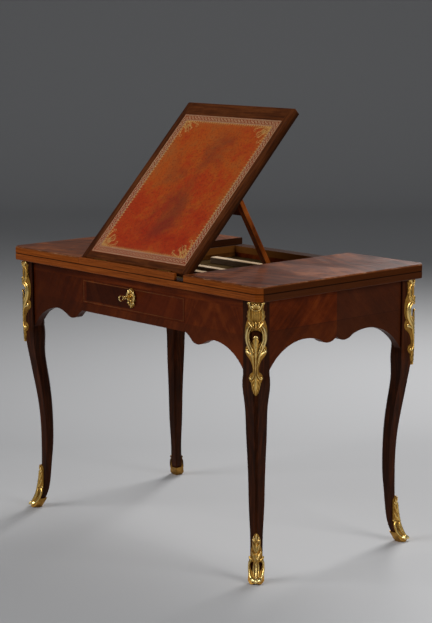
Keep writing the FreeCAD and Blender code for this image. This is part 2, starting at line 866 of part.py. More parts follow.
# Butt hinges: a fixed leaf on the strip, a moving leaf on the slope and a pin through both
leaf_inner = d.hinge_leaf_gap / 2.0
leaf_outer = leaf_inner + d.hinge_leaf
leaf_low = -d.slope_thickness + 1.0
leaf_high = -d.knuckle_radius - 0.6
knuckle_third = d.hinge_length / 3.0
hinge_left = d.hinge_spread - d.hinge_length / 2.0
hinge_right = d.hinge_spread + d.hinge_length / 2.0
origin = (zero, zero, zero)


def knuckle(label, start, end, side):
    """One knuckle between two ends along the hinge, with the tongue that carries it."""
    near_side, far_side = (-leaf_outer, -leaf_inner) if side < 0 else (leaf_inner, leaf_outer)
    barrel = rod(label + "_barrel", "X", (start, zero, zero), end - start, d.knuckle_radius)
    tongue = box(label + "_tongue", (start, near_side, leaf_high), (end, far_side, zero))
    return [barrel, tongue]


def hinge_bore(label, radius):
    """The hole that runs the length of a hinge."""
    return rod(label, "X", (hinge_left - 1.0, zero, zero), d.hinge_length + 2.0, radius)


fixed_plate = box("fixed_plate", (hinge_left, -leaf_outer, leaf_low), (hinge_right, -leaf_inner, leaf_high))
first_knuckle = knuckle("first_knuckle", hinge_left, hinge_left + knuckle_third - d.knuckle_gap, -1)
last_knuckle = knuckle("last_knuckle", hinge_right - knuckle_third + d.knuckle_gap, hinge_right, -1)
fixed_form = fuse("fixed_form", [fixed_plate] + first_knuckle + last_knuckle)
fixed_bore = hinge_bore("fixed_bore", d.hinge_pin_radius)
right_hinge_fixed_leaf = cut("right_hinge_fixed_leaf", fixed_form, fixed_bore)
seat(right_hinge_fixed_leaf, Frame(d.slope_offset, axis_y, d.table_height, Vector(1, 0, 0), zero))
left_hinge_fixed_leaf = mirror("left_hinge_fixed_leaf", right_hinge_fixed_leaf, "X", d.slope_offset)

moving_plate = box("moving_plate", (hinge_left, leaf_inner, leaf_low), (hinge_right, leaf_outer, leaf_high))
middle_knuckle = knuckle("middle_knuckle", hinge_left + knuckle_third, hinge_right - knuckle_third, 1)
moving_form = fuse("moving_form", [moving_plate] + middle_knuckle)
moving_bore = hinge_bore("moving_bore", d.hinge_pin_radius + d.pin_clearance)
right_hinge_moving_leaf = cut("right_hinge_moving_leaf", moving_form, moving_bore)
seat(right_hinge_moving_leaf, slope_frame)
left_hinge_moving_leaf = mirror("left_hinge_moving_leaf", right_hinge_moving_leaf, "X", d.slope_offset)

right_hinge_pin = rod(
    "right_hinge_pin", "X", (d.slope_offset + hinge_left, axis_y, d.table_height),
    d.hinge_length, d.hinge_pin_radius,
)
left_hinge_pin = mirror("left_hinge_pin", right_hinge_pin, "X", d.slope_offset)
hinge_pins = group("hinge_pins", [left_hinge_pin, right_hinge_pin])
keep(right_hinge_fixed_leaf, left_hinge_fixed_leaf, right_hinge_moving_leaf, left_hinge_moving_leaf)
keep(hinge_pins)

# Easel: two struts with a rail between them, hung on brackets under the slope
strut_half = d.strut_depth / 2.0
pivot_below = d.slope_thickness + d.strut_clearance + strut_half
pivot_y = axis_y + d.strut_pivot_along * cosine(d.slope_tilt) + pivot_below * sine(d.slope_tilt)
pivot_z = d.table_height + d.strut_pivot_along * sine(d.slope_tilt) - pivot_below * cosine(d.slope_tilt)
strut_frame = Frame(d.slope_offset, pivot_y, pivot_z, Vector(1, 0, 0), -d.strut_lean)
strut_inside = d.strut_outside - d.strut_width
strut_outline = [
    (zero, -strut_half),
    (d.strut_reach, -strut_half),
    Arc((d.strut_reach + strut_half, zero), (d.strut_reach, strut_half)),
    (zero, strut_half),
    Arc((-strut_half, zero), (zero, -strut_half)),
][1:]
strut_bore = Circle((zero, zero), d.strut_pin_radius + d.pin_clearance)
right_strut = prism(
    "right_strut", "YZ", strut_outline, strut_inside, d.strut_width, [strut_bore], strut_frame
)
left_strut = mirror("left_strut", right_strut, "X", d.slope_offset)
strut_rail_outline = rectangle(
    (d.strut_rail_offset, -strut_half + 1.0),
    (d.strut_rail_offset + d.strut_rail_width, strut_half - 1.0),
)
strut_rail = prism(
    "strut_rail", "YZ", strut_rail_outline, -strut_inside, strut_inside * 2.0, (), strut_frame
)
keep(right_strut, left_strut, strut_rail)

ear_outside = strut_inside - d.bracket_gap
ear_inside = ear_outside - d.bracket_plate
ear_half = d.bracket_length / 2.0
ear_eye = Circle((d.strut_pivot_along, -pivot_below), d.strut_pin_radius)
ear_outline = [
    (d.strut_pivot_along + ear_half, slope_under),
    (d.strut_pivot_along - ear_half, slope_under),
    (d.strut_pivot_along - strut_half, -pivot_below),
    Arc((d.strut_pivot_along, -pivot_below - strut_half), (d.strut_pivot_along + strut_half, -pivot_below)),
]
ear = prism("ear", "YZ", ear_outline, ear_inside, d.bracket_plate, [ear_eye])
ear_flange = box(
    "ear_flange",
    (ear_outside - d.bracket_flange, d.strut_pivot_along - ear_half, slope_under - d.bracket_plate),
    (ear_outside, d.strut_pivot_along + ear_half, slope_under),
)
right_strut_bracket = fuse("right_strut_bracket", [ear, ear_flange])
seat(right_strut_bracket, slope_frame)
left_strut_bracket = mirror("left_strut_bracket", right_strut_bracket, "X", d.slope_offset)
right_strut_pin = rod(
    "right_strut_pin", "X", (d.slope_offset + ear_inside, pivot_y, pivot_z),
    d.strut_width + d.bracket_gap + d.bracket_plate, d.strut_pin_radius,
)
left_strut_pin = mirror("left_strut_pin", right_strut_pin, "X", d.slope_offset)
strut_pins = group("strut_pins", [left_strut_pin, right_strut_pin])
keep(right_strut_bracket, left_strut_bracket, strut_pins)

# Well: a floor between the rails, a wall on each side, three rack bars and the foot rests
well_inside = d.slope_offset + d.well_half_width
well_right = well_inside + d.well_wall
well_left = d.slope_offset - d.well_half_width - d.well_wall
well_floor = box(
    "well_floor", (well_left, front_inside, well_top - d.well_floor), (well_right, back_inside, well_top)
)
well_right_wall = box(
    "well_right_wall", (well_inside, front_inside, well_top), (well_right, back_inside, rim_bottom)
)
well_left_wall = mirror("well_left_wall", well_right_wall, "X", d.slope_offset)
keep(well_floor, well_right_wall, well_left_wall)

rack_places = {"rack_front_bar": d.rack_front, "rack_middle_bar": d.rack_middle, "rack_rear_bar": d.rack_rear}
for label, place in rack_places.items():
    bar_low = front_edge + place - d.rack_bar_width / 2.0
    bar_outline = rectangle((bar_low, well_top), (bar_low + d.rack_bar_width, well_top + d.rack_bar_height))
    bar = prism(label, "YZ", bar_outline, d.slope_offset - d.rack_bar_length / 2.0, d.rack_bar_length)
    bar_top = well_top + d.rack_bar_height
    dress(bar, "Chamfer", as_size(1.5), lambda bounds: near(bounds.ZMin, bar_top))
    keep(bar)

foot_y = pivot_y + d.strut_reach * cosine(d.strut_lean)
foot_z = pivot_z - d.strut_reach * sine(d.strut_lean)
rest_drop = (strut_half + d.foot_rest_clearance) / cosine(d.foot_rest_slope)
rest_fall = d.foot_rest_length / 2.0 * sine(d.foot_rest_slope) / cosine(d.foot_rest_slope)
foot_rest_outline = [
    (foot_y - d.foot_rest_length / 2.0, well_top),
    (foot_y + d.foot_rest_length / 2.0, well_top),
    (foot_y + d.foot_rest_length / 2.0, foot_z - rest_drop - rest_fall),
    (foot_y - d.foot_rest_length / 2.0, foot_z - rest_drop + rest_fall),
]
foot_rest_x = d.slope_offset + (strut_inside + d.strut_outside) / 2.0 - d.foot_rest_width / 2.0
right_foot_rest = prism("right_foot_rest", "YZ", foot_rest_outline, foot_rest_x, d.foot_rest_width)
left_foot_rest = mirror("left_foot_rest", right_foot_rest, "X", d.slope_offset)
keep(right_foot_rest, left_foot_rest)

# Drawer runners, each with a guide beside the drawer
drawer_body_half = drawer_half - d.drawer_gap
drawer_body_low = drawer_floor + d.drawer_gap
runner_top = drawer_body_low + d.drawer_side_drop / 2.0 - d.runner_gap
guide_inside = drawer_half
runner_outline = [
    (guide_inside + d.guide_width, runner_top - d.runner_height),
    (guide_inside + d.guide_width, runner_top + d.guide_height),
    (guide_inside, runner_top + d.guide_height),
    (guide_inside, runner_top),
    (guide_inside + d.guide_width - d.runner_width, runner_top),
    (guide_inside + d.guide_width - d.runner_width, runner_top - d.runner_height),
]
right_drawer_runner = prism(
    "right_drawer_runner", "XZ", runner_outline, front_inside, back_inside - front_inside
)
left_drawer_runner = mirror("left_drawer_runner", right_drawer_runner, "X")
keep(right_drawer_runner, left_drawer_runner)

# Drawer: front let in for the lock, sides grooved for the bottom
drawer_back_y = front_face + d.drawer_depth
drawer_inside_y = front_face + d.drawer_front
drawer_body_high = drawer_top - d.drawer_gap
side_low = drawer_body_low + d.drawer_side_drop / 2.0
side_high = drawer_body_high - d.drawer_side_drop
side_inside = drawer_body_half - d.drawer_side
bottom_low = side_low + d.drawer_bottom_lift
bottom_high = bottom_low + d.drawer_bottom

key_z = drawer_body_high - d.key_drop
lock_top = drawer_body_high
lock_low = lock_top - d.lock_height
lock_front = drawer_inside_y - d.lock_let_in
lock_back = lock_front + d.lock_depth
lock_half = d.lock_width / 2.0
keyhole_half = d.keyhole_slot / 2.0
keyhole_outline = [
    (-keyhole_half, key_z - d.key_bit_radius - 0.4),
    (keyhole_half, key_z - d.key_bit_radius - 0.4),
    (keyhole_half, key_z - d.keyhole_radius * 0.8),
    Arc((zero, key_z + d.keyhole_radius), (-keyhole_half, key_z - d.keyhole_radius * 0.8)),
]
front_outline = rectangle((-drawer_body_half, drawer_body_low), (drawer_body_half, drawer_body_high))
drawer_board = prism("drawer_board", "XZ", front_outline, front_face, d.drawer_front, [keyhole_outline])
lock_recess = box(
    "lock_recess",
    (-lock_half - d.lock_gap, lock_front, lock_low - d.lock_gap),
    (lock_half + d.lock_gap, drawer_inside_y + 1.0, lock_top + 1.0),
)
drawer_front = cut("drawer_front", drawer_board, lock_recess)

drawer_bottom = box(
    "drawer_bottom",
    (-side_inside - d.drawer_groove, drawer_inside_y, bottom_low),
    (side_inside + d.drawer_groove, drawer_back_y - d.drawer_side, bottom_high),
)
side_board = box(
    "side_board", (side_inside, drawer_inside_y, side_low), (drawer_body_half, drawer_back_y, side_high)
)
drawer_right_side = cut("drawer_right_side", side_board, drawer_bottom)
drawer_left_side = mirror("drawer_left_side", drawer_right_side, "X")
drawer_back = box(
    "drawer_back",
    (-side_inside, drawer_back_y - d.drawer_side, bottom_low),
    (side_inside, drawer_back_y, side_high - d.drawer_side_drop),
)
keep(drawer_front, drawer_bottom, drawer_right_side, drawer_left_side, drawer_back)

# Lock: a case with a chamber for the key's bit and a slot for the bolt above it
chamber_start = lock_front + 1.0
lock_block = box("lock_block", (-lock_half, lock_front, lock_low), (lock_half, lock_back, lock_top))
key_chamber = rod(
    "key_chamber", "Y", (zero, chamber_start, key_z), d.key_chamber_length, d.key_chamber_radius
)
case_mouth = prism("case_mouth", "XZ", keyhole_outline, lock_front - 1.0, as_size(3.0))
case_bore = rod(
    "case_bore", "Y", (zero, chamber_start, key_z), d.key_chamber_length + 4.0,
    d.key_shank_radius + d.pin_clearance,
)
bolt_low = key_z + d.key_chamber_radius - 2.0
bolt_slot = box(
    "bolt_slot",
    (-d.bolt_width / 2.0 - d.lock_gap, bolt_front - d.lock_gap, bolt_low - d.lock_gap),
    (d.bolt_width / 2.0 + d.lock_gap, bolt_front + d.bolt_thickness + d.lock_gap, lock_top + 1.0),
)
lock_hollow = fuse("lock_hollow", [key_chamber, case_mouth, case_bore, bolt_slot])
lock_case = cut("lock_case", lock_block, lock_hollow)

# Bolt, hollowed below so that the bit can turn under it
bolt_block = box(
    "bolt_block",
    (-d.bolt_width / 2.0, bolt_front, bolt_low),
    (d.bolt_width / 2.0, bolt_front + d.bolt_thickness, bolt_low + d.bolt_height),
)
bit_sweep = rod(
    "bit_sweep", "Y", (zero, bolt_front - 1.0, key_z), d.bolt_thickness + 2.0, d.key_chamber_radius
)
lock_bolt = cut("lock_bolt", bolt_block, bit_sweep)
keep(lock_case, lock_bolt)

# Key: turned shank with a collar, a ring bow and a bit
key_tip = chamber_start + d.key_chamber_length + 3.0
bow_y = front_face - d.key_reach + d.key_bow_radius
bow_hole = d.key_bow_radius - d.key_bow_bar
shank_start = bow_y + bow_hole + d.key_bow_bar / 2.0
shank_profile = [
    (shank_start, key_z),
    (shank_start, key_z + d.key_shank_radius * 0.8),
    (shank_start + d.key_collar * 2.0, key_z + d.key_shank_radius * 0.8),
    Arc((shank_start + d.key_collar * 3.0, key_z + d.key_shank_radius * 1.6),
        (shank_start + d.key_collar * 4.0, key_z + d.key_shank_radius)),
    (key_tip, key_z + d.key_shank_radius),
    (key_tip, key_z),
]
key_shank = doc.addObject("PartDesign::Body", "key_shank")
shank_sketch = sketch_on(key_shank, "shank_profile", "YZ", zero)
draw(shank_sketch, shank_profile)
axis_line = shank_sketch.addGeometry(
    Part.LineSegment(flat((shank_start, key_z)), flat((key_tip, key_z))), True
)
pin_down(shank_sketch, axis_line, 1, (shank_start, key_z))
pin_down(shank_sketch, axis_line, 2, (key_tip, key_z))
shank_turn = key_shank.newObject("PartDesign::Revolution", "shank_turn")
shank_turn.Profile = shank_sketch
shank_turn.ReferenceAxis = (shank_sketch, ["Axis0"])
shank_turn.Angle = 360.0
key_bow = prism(
    "key_bow", "YZ", Circle((bow_y, key_z), d.key_bow_radius), -d.key_bow_bar / 2.0, d.key_bow_bar,
    [Circle((bow_y, key_z), bow_hole)],
)
dress(key_bow, "Fillet", as_size(1.2), lambda bounds: near(bounds.XMin, bounds.XMax))
key_bit = box(
    "key_bit",
    (-d.key_bit_thickness / 2.0, chamber_start + 0.5, key_z - d.key_bit_radius),
    (d.key_bit_thickness / 2.0, chamber_start + d.key_chamber_length - 0.5, key_z - d.key_shank_radius / 2.0),
)
key = fuse("key", [key_shank, key_bow, key_bit])
keep(key)

# Escutcheon: a small scrolled cartouche pierced for the key
esc_half = d.escutcheon_width / 2.0
esc_tall = d.escutcheon_height / 2.0
esc_middle = drawer_body_high - 1.0 - esc_tall


def esc_point(across, up):
    """A point of the escutcheon by fractions of its half width and half height."""
    return (esc_half * across, esc_middle + esc_tall * up)


escutcheon_outline = both_sides([
    esc_point(0.2, 1.0),
    Arc(esc_point(0.46, 0.82), esc_point(0.4, 0.58)),
    Arc(esc_point(0.86, 0.44), esc_point(0.9, 0.06)),
    Arc(esc_point(0.98, -0.2), esc_point(0.66, -0.36)),
    Arc(esc_point(0.74, -0.66), esc_point(0.36, -0.82)),
    Arc(esc_point(0.24, -0.96), esc_point(0.06, -1.0)),
])
escutcheon = prism(
    "escutcheon", "XZ", escutcheon_outline, front_face - d.escutcheon_thickness, d.escutcheon_thickness,
    [keyhole_outline],
)
keep(escutcheon)

# Check every object, then write each node
doc.recompute()
for thing in doc.Objects:
    if "Invalid" in thing.State or "Error" in thing.State:
        raise RuntimeError(f"{thing.Name} did not build: {thing.State}")
os.makedirs("parts", exist_ok=True)
for node in nodes:
    shape = node.Shape
    if shape.isNull() or not shape.isValid() or not shape.Solids:
        raise RuntimeError(f"{node.Label} has no sound solid")
    shape.exportStep(os.path.join("parts", node.Label + ".step"))
print(len(nodes), "nodes written")
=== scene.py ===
# %% [markdown]
# # Dressing a reading table
# The solids of the table are loaded as a fixed frame: legs, aprons, top, slope, easel and drawer.
# This lesson gives them their finishes and adds what a cabinet maker and a bronze founder add last:
# chased gilt mounts, a leather face with gold tooling, and fine stringing round the drawer.
# Everything is in metres and in the frame's own axes, so a piece goes where the solids say.

# %% Load the frame
import json
import math

import bmesh
import bpy
import numpy as np
from mathutils import Matrix, Vector


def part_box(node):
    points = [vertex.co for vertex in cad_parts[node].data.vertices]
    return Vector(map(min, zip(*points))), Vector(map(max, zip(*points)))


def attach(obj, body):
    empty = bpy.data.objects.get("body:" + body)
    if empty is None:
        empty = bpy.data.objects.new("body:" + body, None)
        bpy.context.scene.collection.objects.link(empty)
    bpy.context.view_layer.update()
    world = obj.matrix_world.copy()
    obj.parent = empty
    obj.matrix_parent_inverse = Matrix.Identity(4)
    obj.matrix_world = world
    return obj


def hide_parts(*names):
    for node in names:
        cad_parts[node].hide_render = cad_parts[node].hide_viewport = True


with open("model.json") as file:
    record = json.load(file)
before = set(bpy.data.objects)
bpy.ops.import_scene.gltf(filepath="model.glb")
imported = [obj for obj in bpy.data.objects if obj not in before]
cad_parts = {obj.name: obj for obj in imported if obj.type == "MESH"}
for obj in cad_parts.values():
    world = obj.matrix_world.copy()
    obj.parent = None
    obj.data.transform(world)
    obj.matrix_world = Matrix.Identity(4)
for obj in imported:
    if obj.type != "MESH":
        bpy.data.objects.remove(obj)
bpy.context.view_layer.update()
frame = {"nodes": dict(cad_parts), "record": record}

MM = 0.001

# %% [markdown]
# ## The camera
# The table is seen from its front right corner, a little above the top, with a long lens.
# A camera's turn could be typed as three angles, but building it from a yaw, a pitch and a tiny roll
# keeps each number meaningful. The sensor's long side is the picture's height here.

# %% Place the camera
YAW, PITCH, ROLL = math.radians(48.44), math.radians(9.89), math.radians(-0.18)


def put(name, data):
    """Make an object of its data and link it to the scene."""
    thing = bpy.data.objects.new(name, data)
    bpy.context.scene.collection.objects.link(thing)
    return thing


lens = bpy.data.cameras.new("studio_camera")
lens.lens = 102.79
lens.sensor_width = 36
camera = put("studio_camera", lens)
turn = Matrix.Rotation(YAW, 4, "Z") @ Matrix.Rotation(math.pi / 2 - PITCH, 4, "X")
camera.rotation_euler = (turn @ Matrix.Rotation(ROLL, 4, "Z")).to_euler()
camera.location = (3.41782, -3.00357, 1.36415)
bpy.context.scene.camera = camera
print("camera:", tuple(round(value, 3) for value in camera.location))

# %% [markdown]
# ## Small helpers for shader nodes
# A material is a graph of nodes. Writing each node out by hand buries the idea under plumbing, so a few
# short helpers place a node, join sockets, do sums and make masks. A socket knows the tree it is in, so a
# helper that is fed from a socket finds its tree by itself.

# %% Node helpers
def feed(node, inputs):
    """Link a socket, or set a plain value, at each named input of a node."""
    for key, value in inputs.items():
        socket = node.inputs[key]
        if isinstance(value, bpy.types.NodeSocket):
            node.id_data.links.new(value, socket)
        else:
            socket.default_value = (*value, 1) if socket.type == "RGBA" else value


def place(kind, inputs=None, tree=None, **settings):
    """Add a node to a tree, or else to the tree of the first socket it is fed from; set its options."""
    inputs = inputs or {}
    if tree is None:
        tree = next(value.id_data for value in inputs.values() if isinstance(value, bpy.types.NodeSocket))
    node = tree.nodes.new("ShaderNode" + kind)
    for key, value in settings.items():
        setattr(node, key, value)
    feed(node, inputs)
    return node


def own_coords(shader):
    """The piece's own coordinates, in the tree of its shader."""
    return place("TexCoord", tree=shader.id_data).outputs["Object"]


def calc(operation, *values, clamp=False):
    """One arithmetic step between sockets and numbers."""
    inputs = dict(enumerate(values))
    return place("Math", inputs, operation=operation, use_clamp=clamp).outputs[0]


def vector_calc(operation, first, second):
    """One step between two vectors, or between a vector and the number that scales it."""
    inputs = {0: first, "Scale" if operation == "SCALE" else 1: second}
    return place("VectorMath", inputs, operation=operation).outputs[0]


def stretch(vector, factors):
    """Scale a vector by a factor along each axis."""
    return vector_calc("MULTIPLY", vector, factors)


def spread(value, low, high, to_low=0, to_high=1):
    """Carry a value smoothly from one range to another, and hold it at the ends."""
    inputs = {"Value": value, "From Min": low, "From Max": high, "To Min": to_low, "To Max": to_high}
    return place("MapRange", inputs, interpolation_type="SMOOTHSTEP").outputs[0]


def between(value, low, high, soft):
    """A mask that is one between two places."""
    rise = spread(value, low - soft, low + soft)
    fall = spread(value, high - soft, high + soft)
    return calc("SUBTRACT", rise, fall, clamp=True)


def noise(vector, detail=3, roughness=0.55, distortion=0):
    """A noise texture's value on a vector that is already scaled."""
    inputs = {"Vector": vector, "Scale": 1, "Detail": detail, "Roughness": roughness}
    return place("TexNoise", {**inputs, "Distortion": distortion}).outputs[0]


def bumped(height, strength, distance):
    """A normal raised by a height."""
    inputs = {"Strength": strength, "Distance": distance, "Height": height}
    return place("Bump", inputs).outputs[0]


print("node helpers ready")

# %% [markdown]
# ## Helpers for colours, groups and materials
# Colours are blended by a factor or read from a ramp of stops. An effect that several materials share
# goes into a node group with named inputs and outputs, built once and placed in each material with its own
# values.

# %% Colour, group and material helpers
def tint(factor, first, second, mode="MIX"):
    """Blend two colours by a factor."""
    inputs = {0: factor, 6: first, 7: second}
    return place("Mix", inputs, data_type="RGBA", blend_type=mode).outputs[2]


def wash(mask, share, colour, tone):
    """Lay a share of a tone over a colour where a mask is one."""
    return tint(calc("MULTIPLY", mask, share), colour, tone)


def ramp(factor, stops):
    """A colour ramp from (place, colour) stops."""
    node = place("ValToRGB", {"Fac": factor})
    elements = node.color_ramp.elements
    while len(elements) < len(stops):
        elements.new(0.5)
    for element, (position, colour) in zip(elements, stops):
        element.position = position
        element.color = (*colour, 1)
    return node.outputs[0]


def new_group(name, numbers, outputs):
    """Start a node group with a vector and numbers going in; give back its tree, entry sockets and exit."""
    group = bpy.data.node_groups.new(name, "ShaderNodeTree")
    group.interface.new_socket("Vector", in_out="INPUT", socket_type="NodeSocketVector")
    for label, default in numbers.items():
        socket = group.interface.new_socket(label, in_out="INPUT", socket_type="NodeSocketFloat")
        socket.default_value = default
    for label, kind in outputs.items():
        group.interface.new_socket(label, in_out="OUTPUT", socket_type="NodeSocket" + kind)
    return group, group.nodes.new("NodeGroupInput").outputs, group.nodes.new("NodeGroupOutput")


def new_material(name):
    """Start a material; give back it and its Principled shader."""
    material = bpy.data.materials.new(name)
    material.use_nodes = True
    return material, material.node_tree.nodes["Principled BSDF"]


def dress(material, *names):
    """Give a finish to nodes of the frame."""
    for name in names:
        frame["nodes"][name].data.materials.clear()
        frame["nodes"][name].data.materials.append(material)


print("colour and material helpers ready")

# %% [markdown]
# ## Veneer under French polish
# The carcase is veneered, and the polish is a thin clear shell over the wood. Four things make wood read as
# wood: streaks drawn out along the grain, short dark pores, a slow cloudy figure, and a faint ripple across
# the grain where the fibres wave. They could be painted on one picture, but noise that is stretched along an
# axis gives them at any size, so they go into one node group that all the woods share.

# %% The figured grain group
grain_group, entry, leave = new_group(
    "Figured grain",
    {"Streak scale": 90, "Wander": 0.05},
    {"Streaks": "Float", "Pores": "Float", "Cloud": "Float", "Ripple": "Float"},
)
drift = place("TexNoise", {
    "Vector": stretch(entry["Vector"], (6, 6, 2.2)), "Scale": 1, "Detail": 3, "Roughness": 0.5,
})
centred = vector_calc("SUBTRACT", drift.outputs["Color"], (0.5, 0.5, 0.5))
bent = vector_calc("ADD", entry["Vector"], vector_calc("SCALE", centred, entry["Wander"]))
drawn_out = vector_calc("SCALE", stretch(bent, (1, 1, 0.055)), entry["Streak scale"])
streaks = noise(drawn_out, detail=6, roughness=0.66)
pores = noise(stretch(entry["Vector"], (1300, 1300, 70)), detail=2)
cloud = noise(stretch(bent, (11, 11, 4.5)), detail=5, roughness=0.58, distortion=0.8)
ripple = noise(stretch(bent, (16, 16, 62)), detail=3, roughness=0.5, distortion=0.4)
feed(leave, {
    "Streaks": spread(streaks, 0.28, 0.72),
    "Pores": spread(pores, 0.54, 0.72),
    "Cloud": spread(cloud, 0.25, 0.75),
    "Ripple": spread(ripple, 0.28, 0.72),
})
print("group:", grain_group.name, "with", len(grain_group.nodes), "nodes")

# %% [markdown]
# ## One function for every wood
# Grain has a direction: up a leg, along a rail, across a border. The function takes the object's own
# coordinates, turns them so that the grain runs along the pattern's third axis, and folds them about a seam
# where two leaves of veneer are book-matched. Sheets cut one after the other open like a book, so the right
# leaf mirrors the left one. An extra step lets a piece darken one leaf or lay a border. The polish is the
# shader's coat, smooth over the slightly open wood, and it can be rubbed away by a mask.

# %% The wood function
PORE_TONE, PORE_SHARE = (0.3, 0.24, 0.22), 0.55
WOOD_SHINE, SHINE_TINT = 0.06, (1, 0.66, 0.42)
BARE_ROUGHNESS = 0.8


def turned(vector, rotation):
    """A vector turned by three angles."""
    return place("Mapping", {"Vector": vector, "Rotation": rotation}).outputs[0]


def wood(name, along, across, stops, seam=None, lean=0, tilt=0, streak=90, wander=0.05,
         shares=(0.5, 0.4, 0.1), polish=0.05, rough=(0.3, 0.46), gloss=0.2, extra=None, rubbed=None):
    """Polished wood: tone = shares of streaks, cloud and ripple, coloured by stops and darkened by pores."""
    material, shader = new_material(name)
    coords = own_coords(shader)
    if tilt:
        coords = turned(coords, (-tilt, 0, 0))
    split = tuple(place("SeparateXYZ", {0: coords}).outputs)
    third = ({"X", "Y", "Z"} - {along, across}).pop()
    parts = [split["XYZ".index(letter)] for letter in (across, third, along)]
    if seam is not None:
        parts[0] = calc("ABSOLUTE", calc("SUBTRACT", parts[0], seam))
    vector = place("CombineXYZ", dict(enumerate(parts))).outputs[0]
    if lean:
        vector = turned(vector, (0, lean, 0))
    inputs = {"Vector": vector, "Streak scale": streak, "Wander": wander}
    grain = place("Group", inputs, node_tree=grain_group).outputs
    tone = calc("MULTIPLY", grain["Streaks"], shares[0])
    tone = calc("MULTIPLY_ADD", grain["Cloud"], shares[1], tone)
    tone = calc("MULTIPLY_ADD", grain["Ripple"], shares[2], tone)
    colour = ramp(tone, stops)
    if extra is not None:
        colour = extra(split, colour)
    dark = tint(1, colour, PORE_TONE, "MULTIPLY")
    roughness, coat = spread(grain["Cloud"], 0.1, 0.9, *rough), polish
    if rubbed is not None:
        bare = rubbed(split)
        roughness = calc("MAXIMUM", roughness, calc("MULTIPLY", bare, BARE_ROUGHNESS))
        coat = spread(bare, 0, 1, polish, 0)
    feed(shader, {
        "Base Color": wash(grain["Pores"], PORE_SHARE, colour, dark),
        "Roughness": roughness,
        "Coat Weight": coat,
        "Coat Roughness": gloss,
        "Specular IOR Level": WOOD_SHINE if polish else 0,
        "Specular Tint": SHINE_TINT,
        "Normal": bumped(grain["Streaks"], 0.1, 0.0003),
    })
    return material


print("wood function ready")

# %% [markdown]
# ## Marks on the veneered front and ends
# The end aprons carry two book-matched leaves with a slanting figure, over a darker border that follows the
# lower edge. The drawer front is matched at its middle, one leaf plainer and one redder. Separate strips of
# mesh could carry these, but on a veneered table they are one smooth face, so they are masks on the
# coordinates.

# %% Borders and leaves
WALNUT = [(0.12, (0.01, 0.0022, 0.0005)), (0.5, (0.028, 0.006, 0.0012)), (0.92, (0.066, 0.0145, 0.0028))]
AMBER = [(0.12, (0.044, 0.0062, 0.0008)), (0.5, (0.098, 0.0142, 0.0014)), (0.92, (0.172, 0.032, 0.0036))]
SECOND_LEAF = (0.04, 0.012, 0.005)
END_BORDER = (0.042, 0.009, 0.0019)
FINE_LINE = (0.012, 0.004, 0.0015)
FRONT_BORDER = (0.05, 0.0105, 0.002)
LEFT_FRONT = (0.029, 0.0044, 0.0006)
RIGHT_SCALLOP = (0.19, 0.034, 0.0042)
RIGHT_LEAF = (0.084, 0.01, 0.0012)
LEFT_LEAF = (0.021, 0.0034, 0.0006)
MIDDLE_Y = 0.01175
BORDER_Z = 0.606
LEFT_FIELD_X, LEFT_FIELD_Z = (-0.186, 0), (0.6065, 0.655)
HAIR = 0.0006


def end_border(split, colour):
    """Darken the second leaf and the border under both leaves, with a fine line between."""
    _, y, z = split
    second = spread(y, MIDDLE_Y - HAIR, MIDDLE_Y + HAIR)
    colour = wash(second, 0.7, colour, SECOND_LEAF)
    border = spread(z, BORDER_Z + 0.001, BORDER_Z - 0.001)
    colour = wash(border, 0.5, colour, END_BORDER)
    fine_line = between(z, BORDER_Z - 0.0007, BORDER_Z + 0.0007, 0.0004)
    return wash(fine_line, 0.5, colour, FINE_LINE)


def front_border(split, colour):
    """Darken the band under the drawer's level and the left side of the front; redden the right scallop."""
    x, _, z = split
    colour = wash(spread(z, 0.5985, 0.5965), 0.35, colour, FRONT_BORDER)
    left = spread(x, 0, -0.35, 0, 0.7)
    colour = tint(left, colour, LEFT_FRONT)
    low = spread(z, 0.605, 0.545, 0, 0.5)
    redder = calc("MULTIPLY", spread(x, 0.18, 0.4), low)
    return tint(redder, colour, RIGHT_SCALLOP)


def drawer_leaves(split, colour):
    """Redden the right leaf, and darken the left one inside its banded edge."""
    x, _, z = split
    colour = wash(spread(x, -HAIR, HAIR), 0.5, colour, RIGHT_LEAF)
    field = calc("MULTIPLY", between(x, *LEFT_FIELD_X, HAIR), between(z, *LEFT_FIELD_Z, HAIR))
    return wash(field, 0.75, colour, LEFT_LEAF)


print("marks of the front and ends ready")

# %% [markdown]
# ## Edges of the top
# The top is two layers with a shadow line between them. Its edge is cross-banded, so the grain runs along
# it whichever way it faces, and hands have rubbed the polish from the upper arris and knocked small chips
# out of it; the lighter rounded edge and the pale chips are that wear with a painted highlight. The faces
# beside the slope get painted shade.

# %% Edges of the top
CEDAR = [(0.22, (0.088, 0.0175, 0.0026)), (0.5, (0.24, 0.0545, 0.0072)), (0.8, (0.42, 0.114, 0.018))]
TOP_Z, JOINT_Z = 0.72, 0.702
PANEL_GAP = (-0.1932, 0.2192)
TOP_END = (0.034, 0.008, 0.0016)
LEFT_PANEL = (0.07, 0.036, 0.021)
# wear and painted highlight on the rounded edge and its chips
WORN_EDGE_AND_HIGHLIGHT = (0.2, 0.058, 0.015)
CHIP_AND_HIGHLIGHT = (0.4, 0.22, 0.12)
JOINT_SHADOW = (0.008, 0.003, 0.0015)
# painted shade on the panels' faces beside the slope
GAP_FACE_SHADE = (0.012, 0.0042, 0.002)


def edge_grain(split):
    """Grain that runs along an edge, whichever way the edge faces, and darkens at the table's ends."""
    x, y, z = split
    run = calc("MULTIPLY", calc("ADD", x, y), 9)
    rise = calc("MULTIPLY", z, 420)
    vector = place("CombineXYZ", {0: run, 2: rise}).outputs[0]
    colour = ramp(noise(vector, detail=4, roughness=0.6), CEDAR)
    ends = spread(calc("ABSOLUTE", x), 0.484, 0.4866, 0, 0.9)
    return tint(ends, colour, TOP_END)


def layer_joint(split):
    """Mask of the shadow line where the top's two layers meet."""
    return between(split[2], JOINT_Z - 0.0012, JOINT_Z + 0.0012, 0.0005)


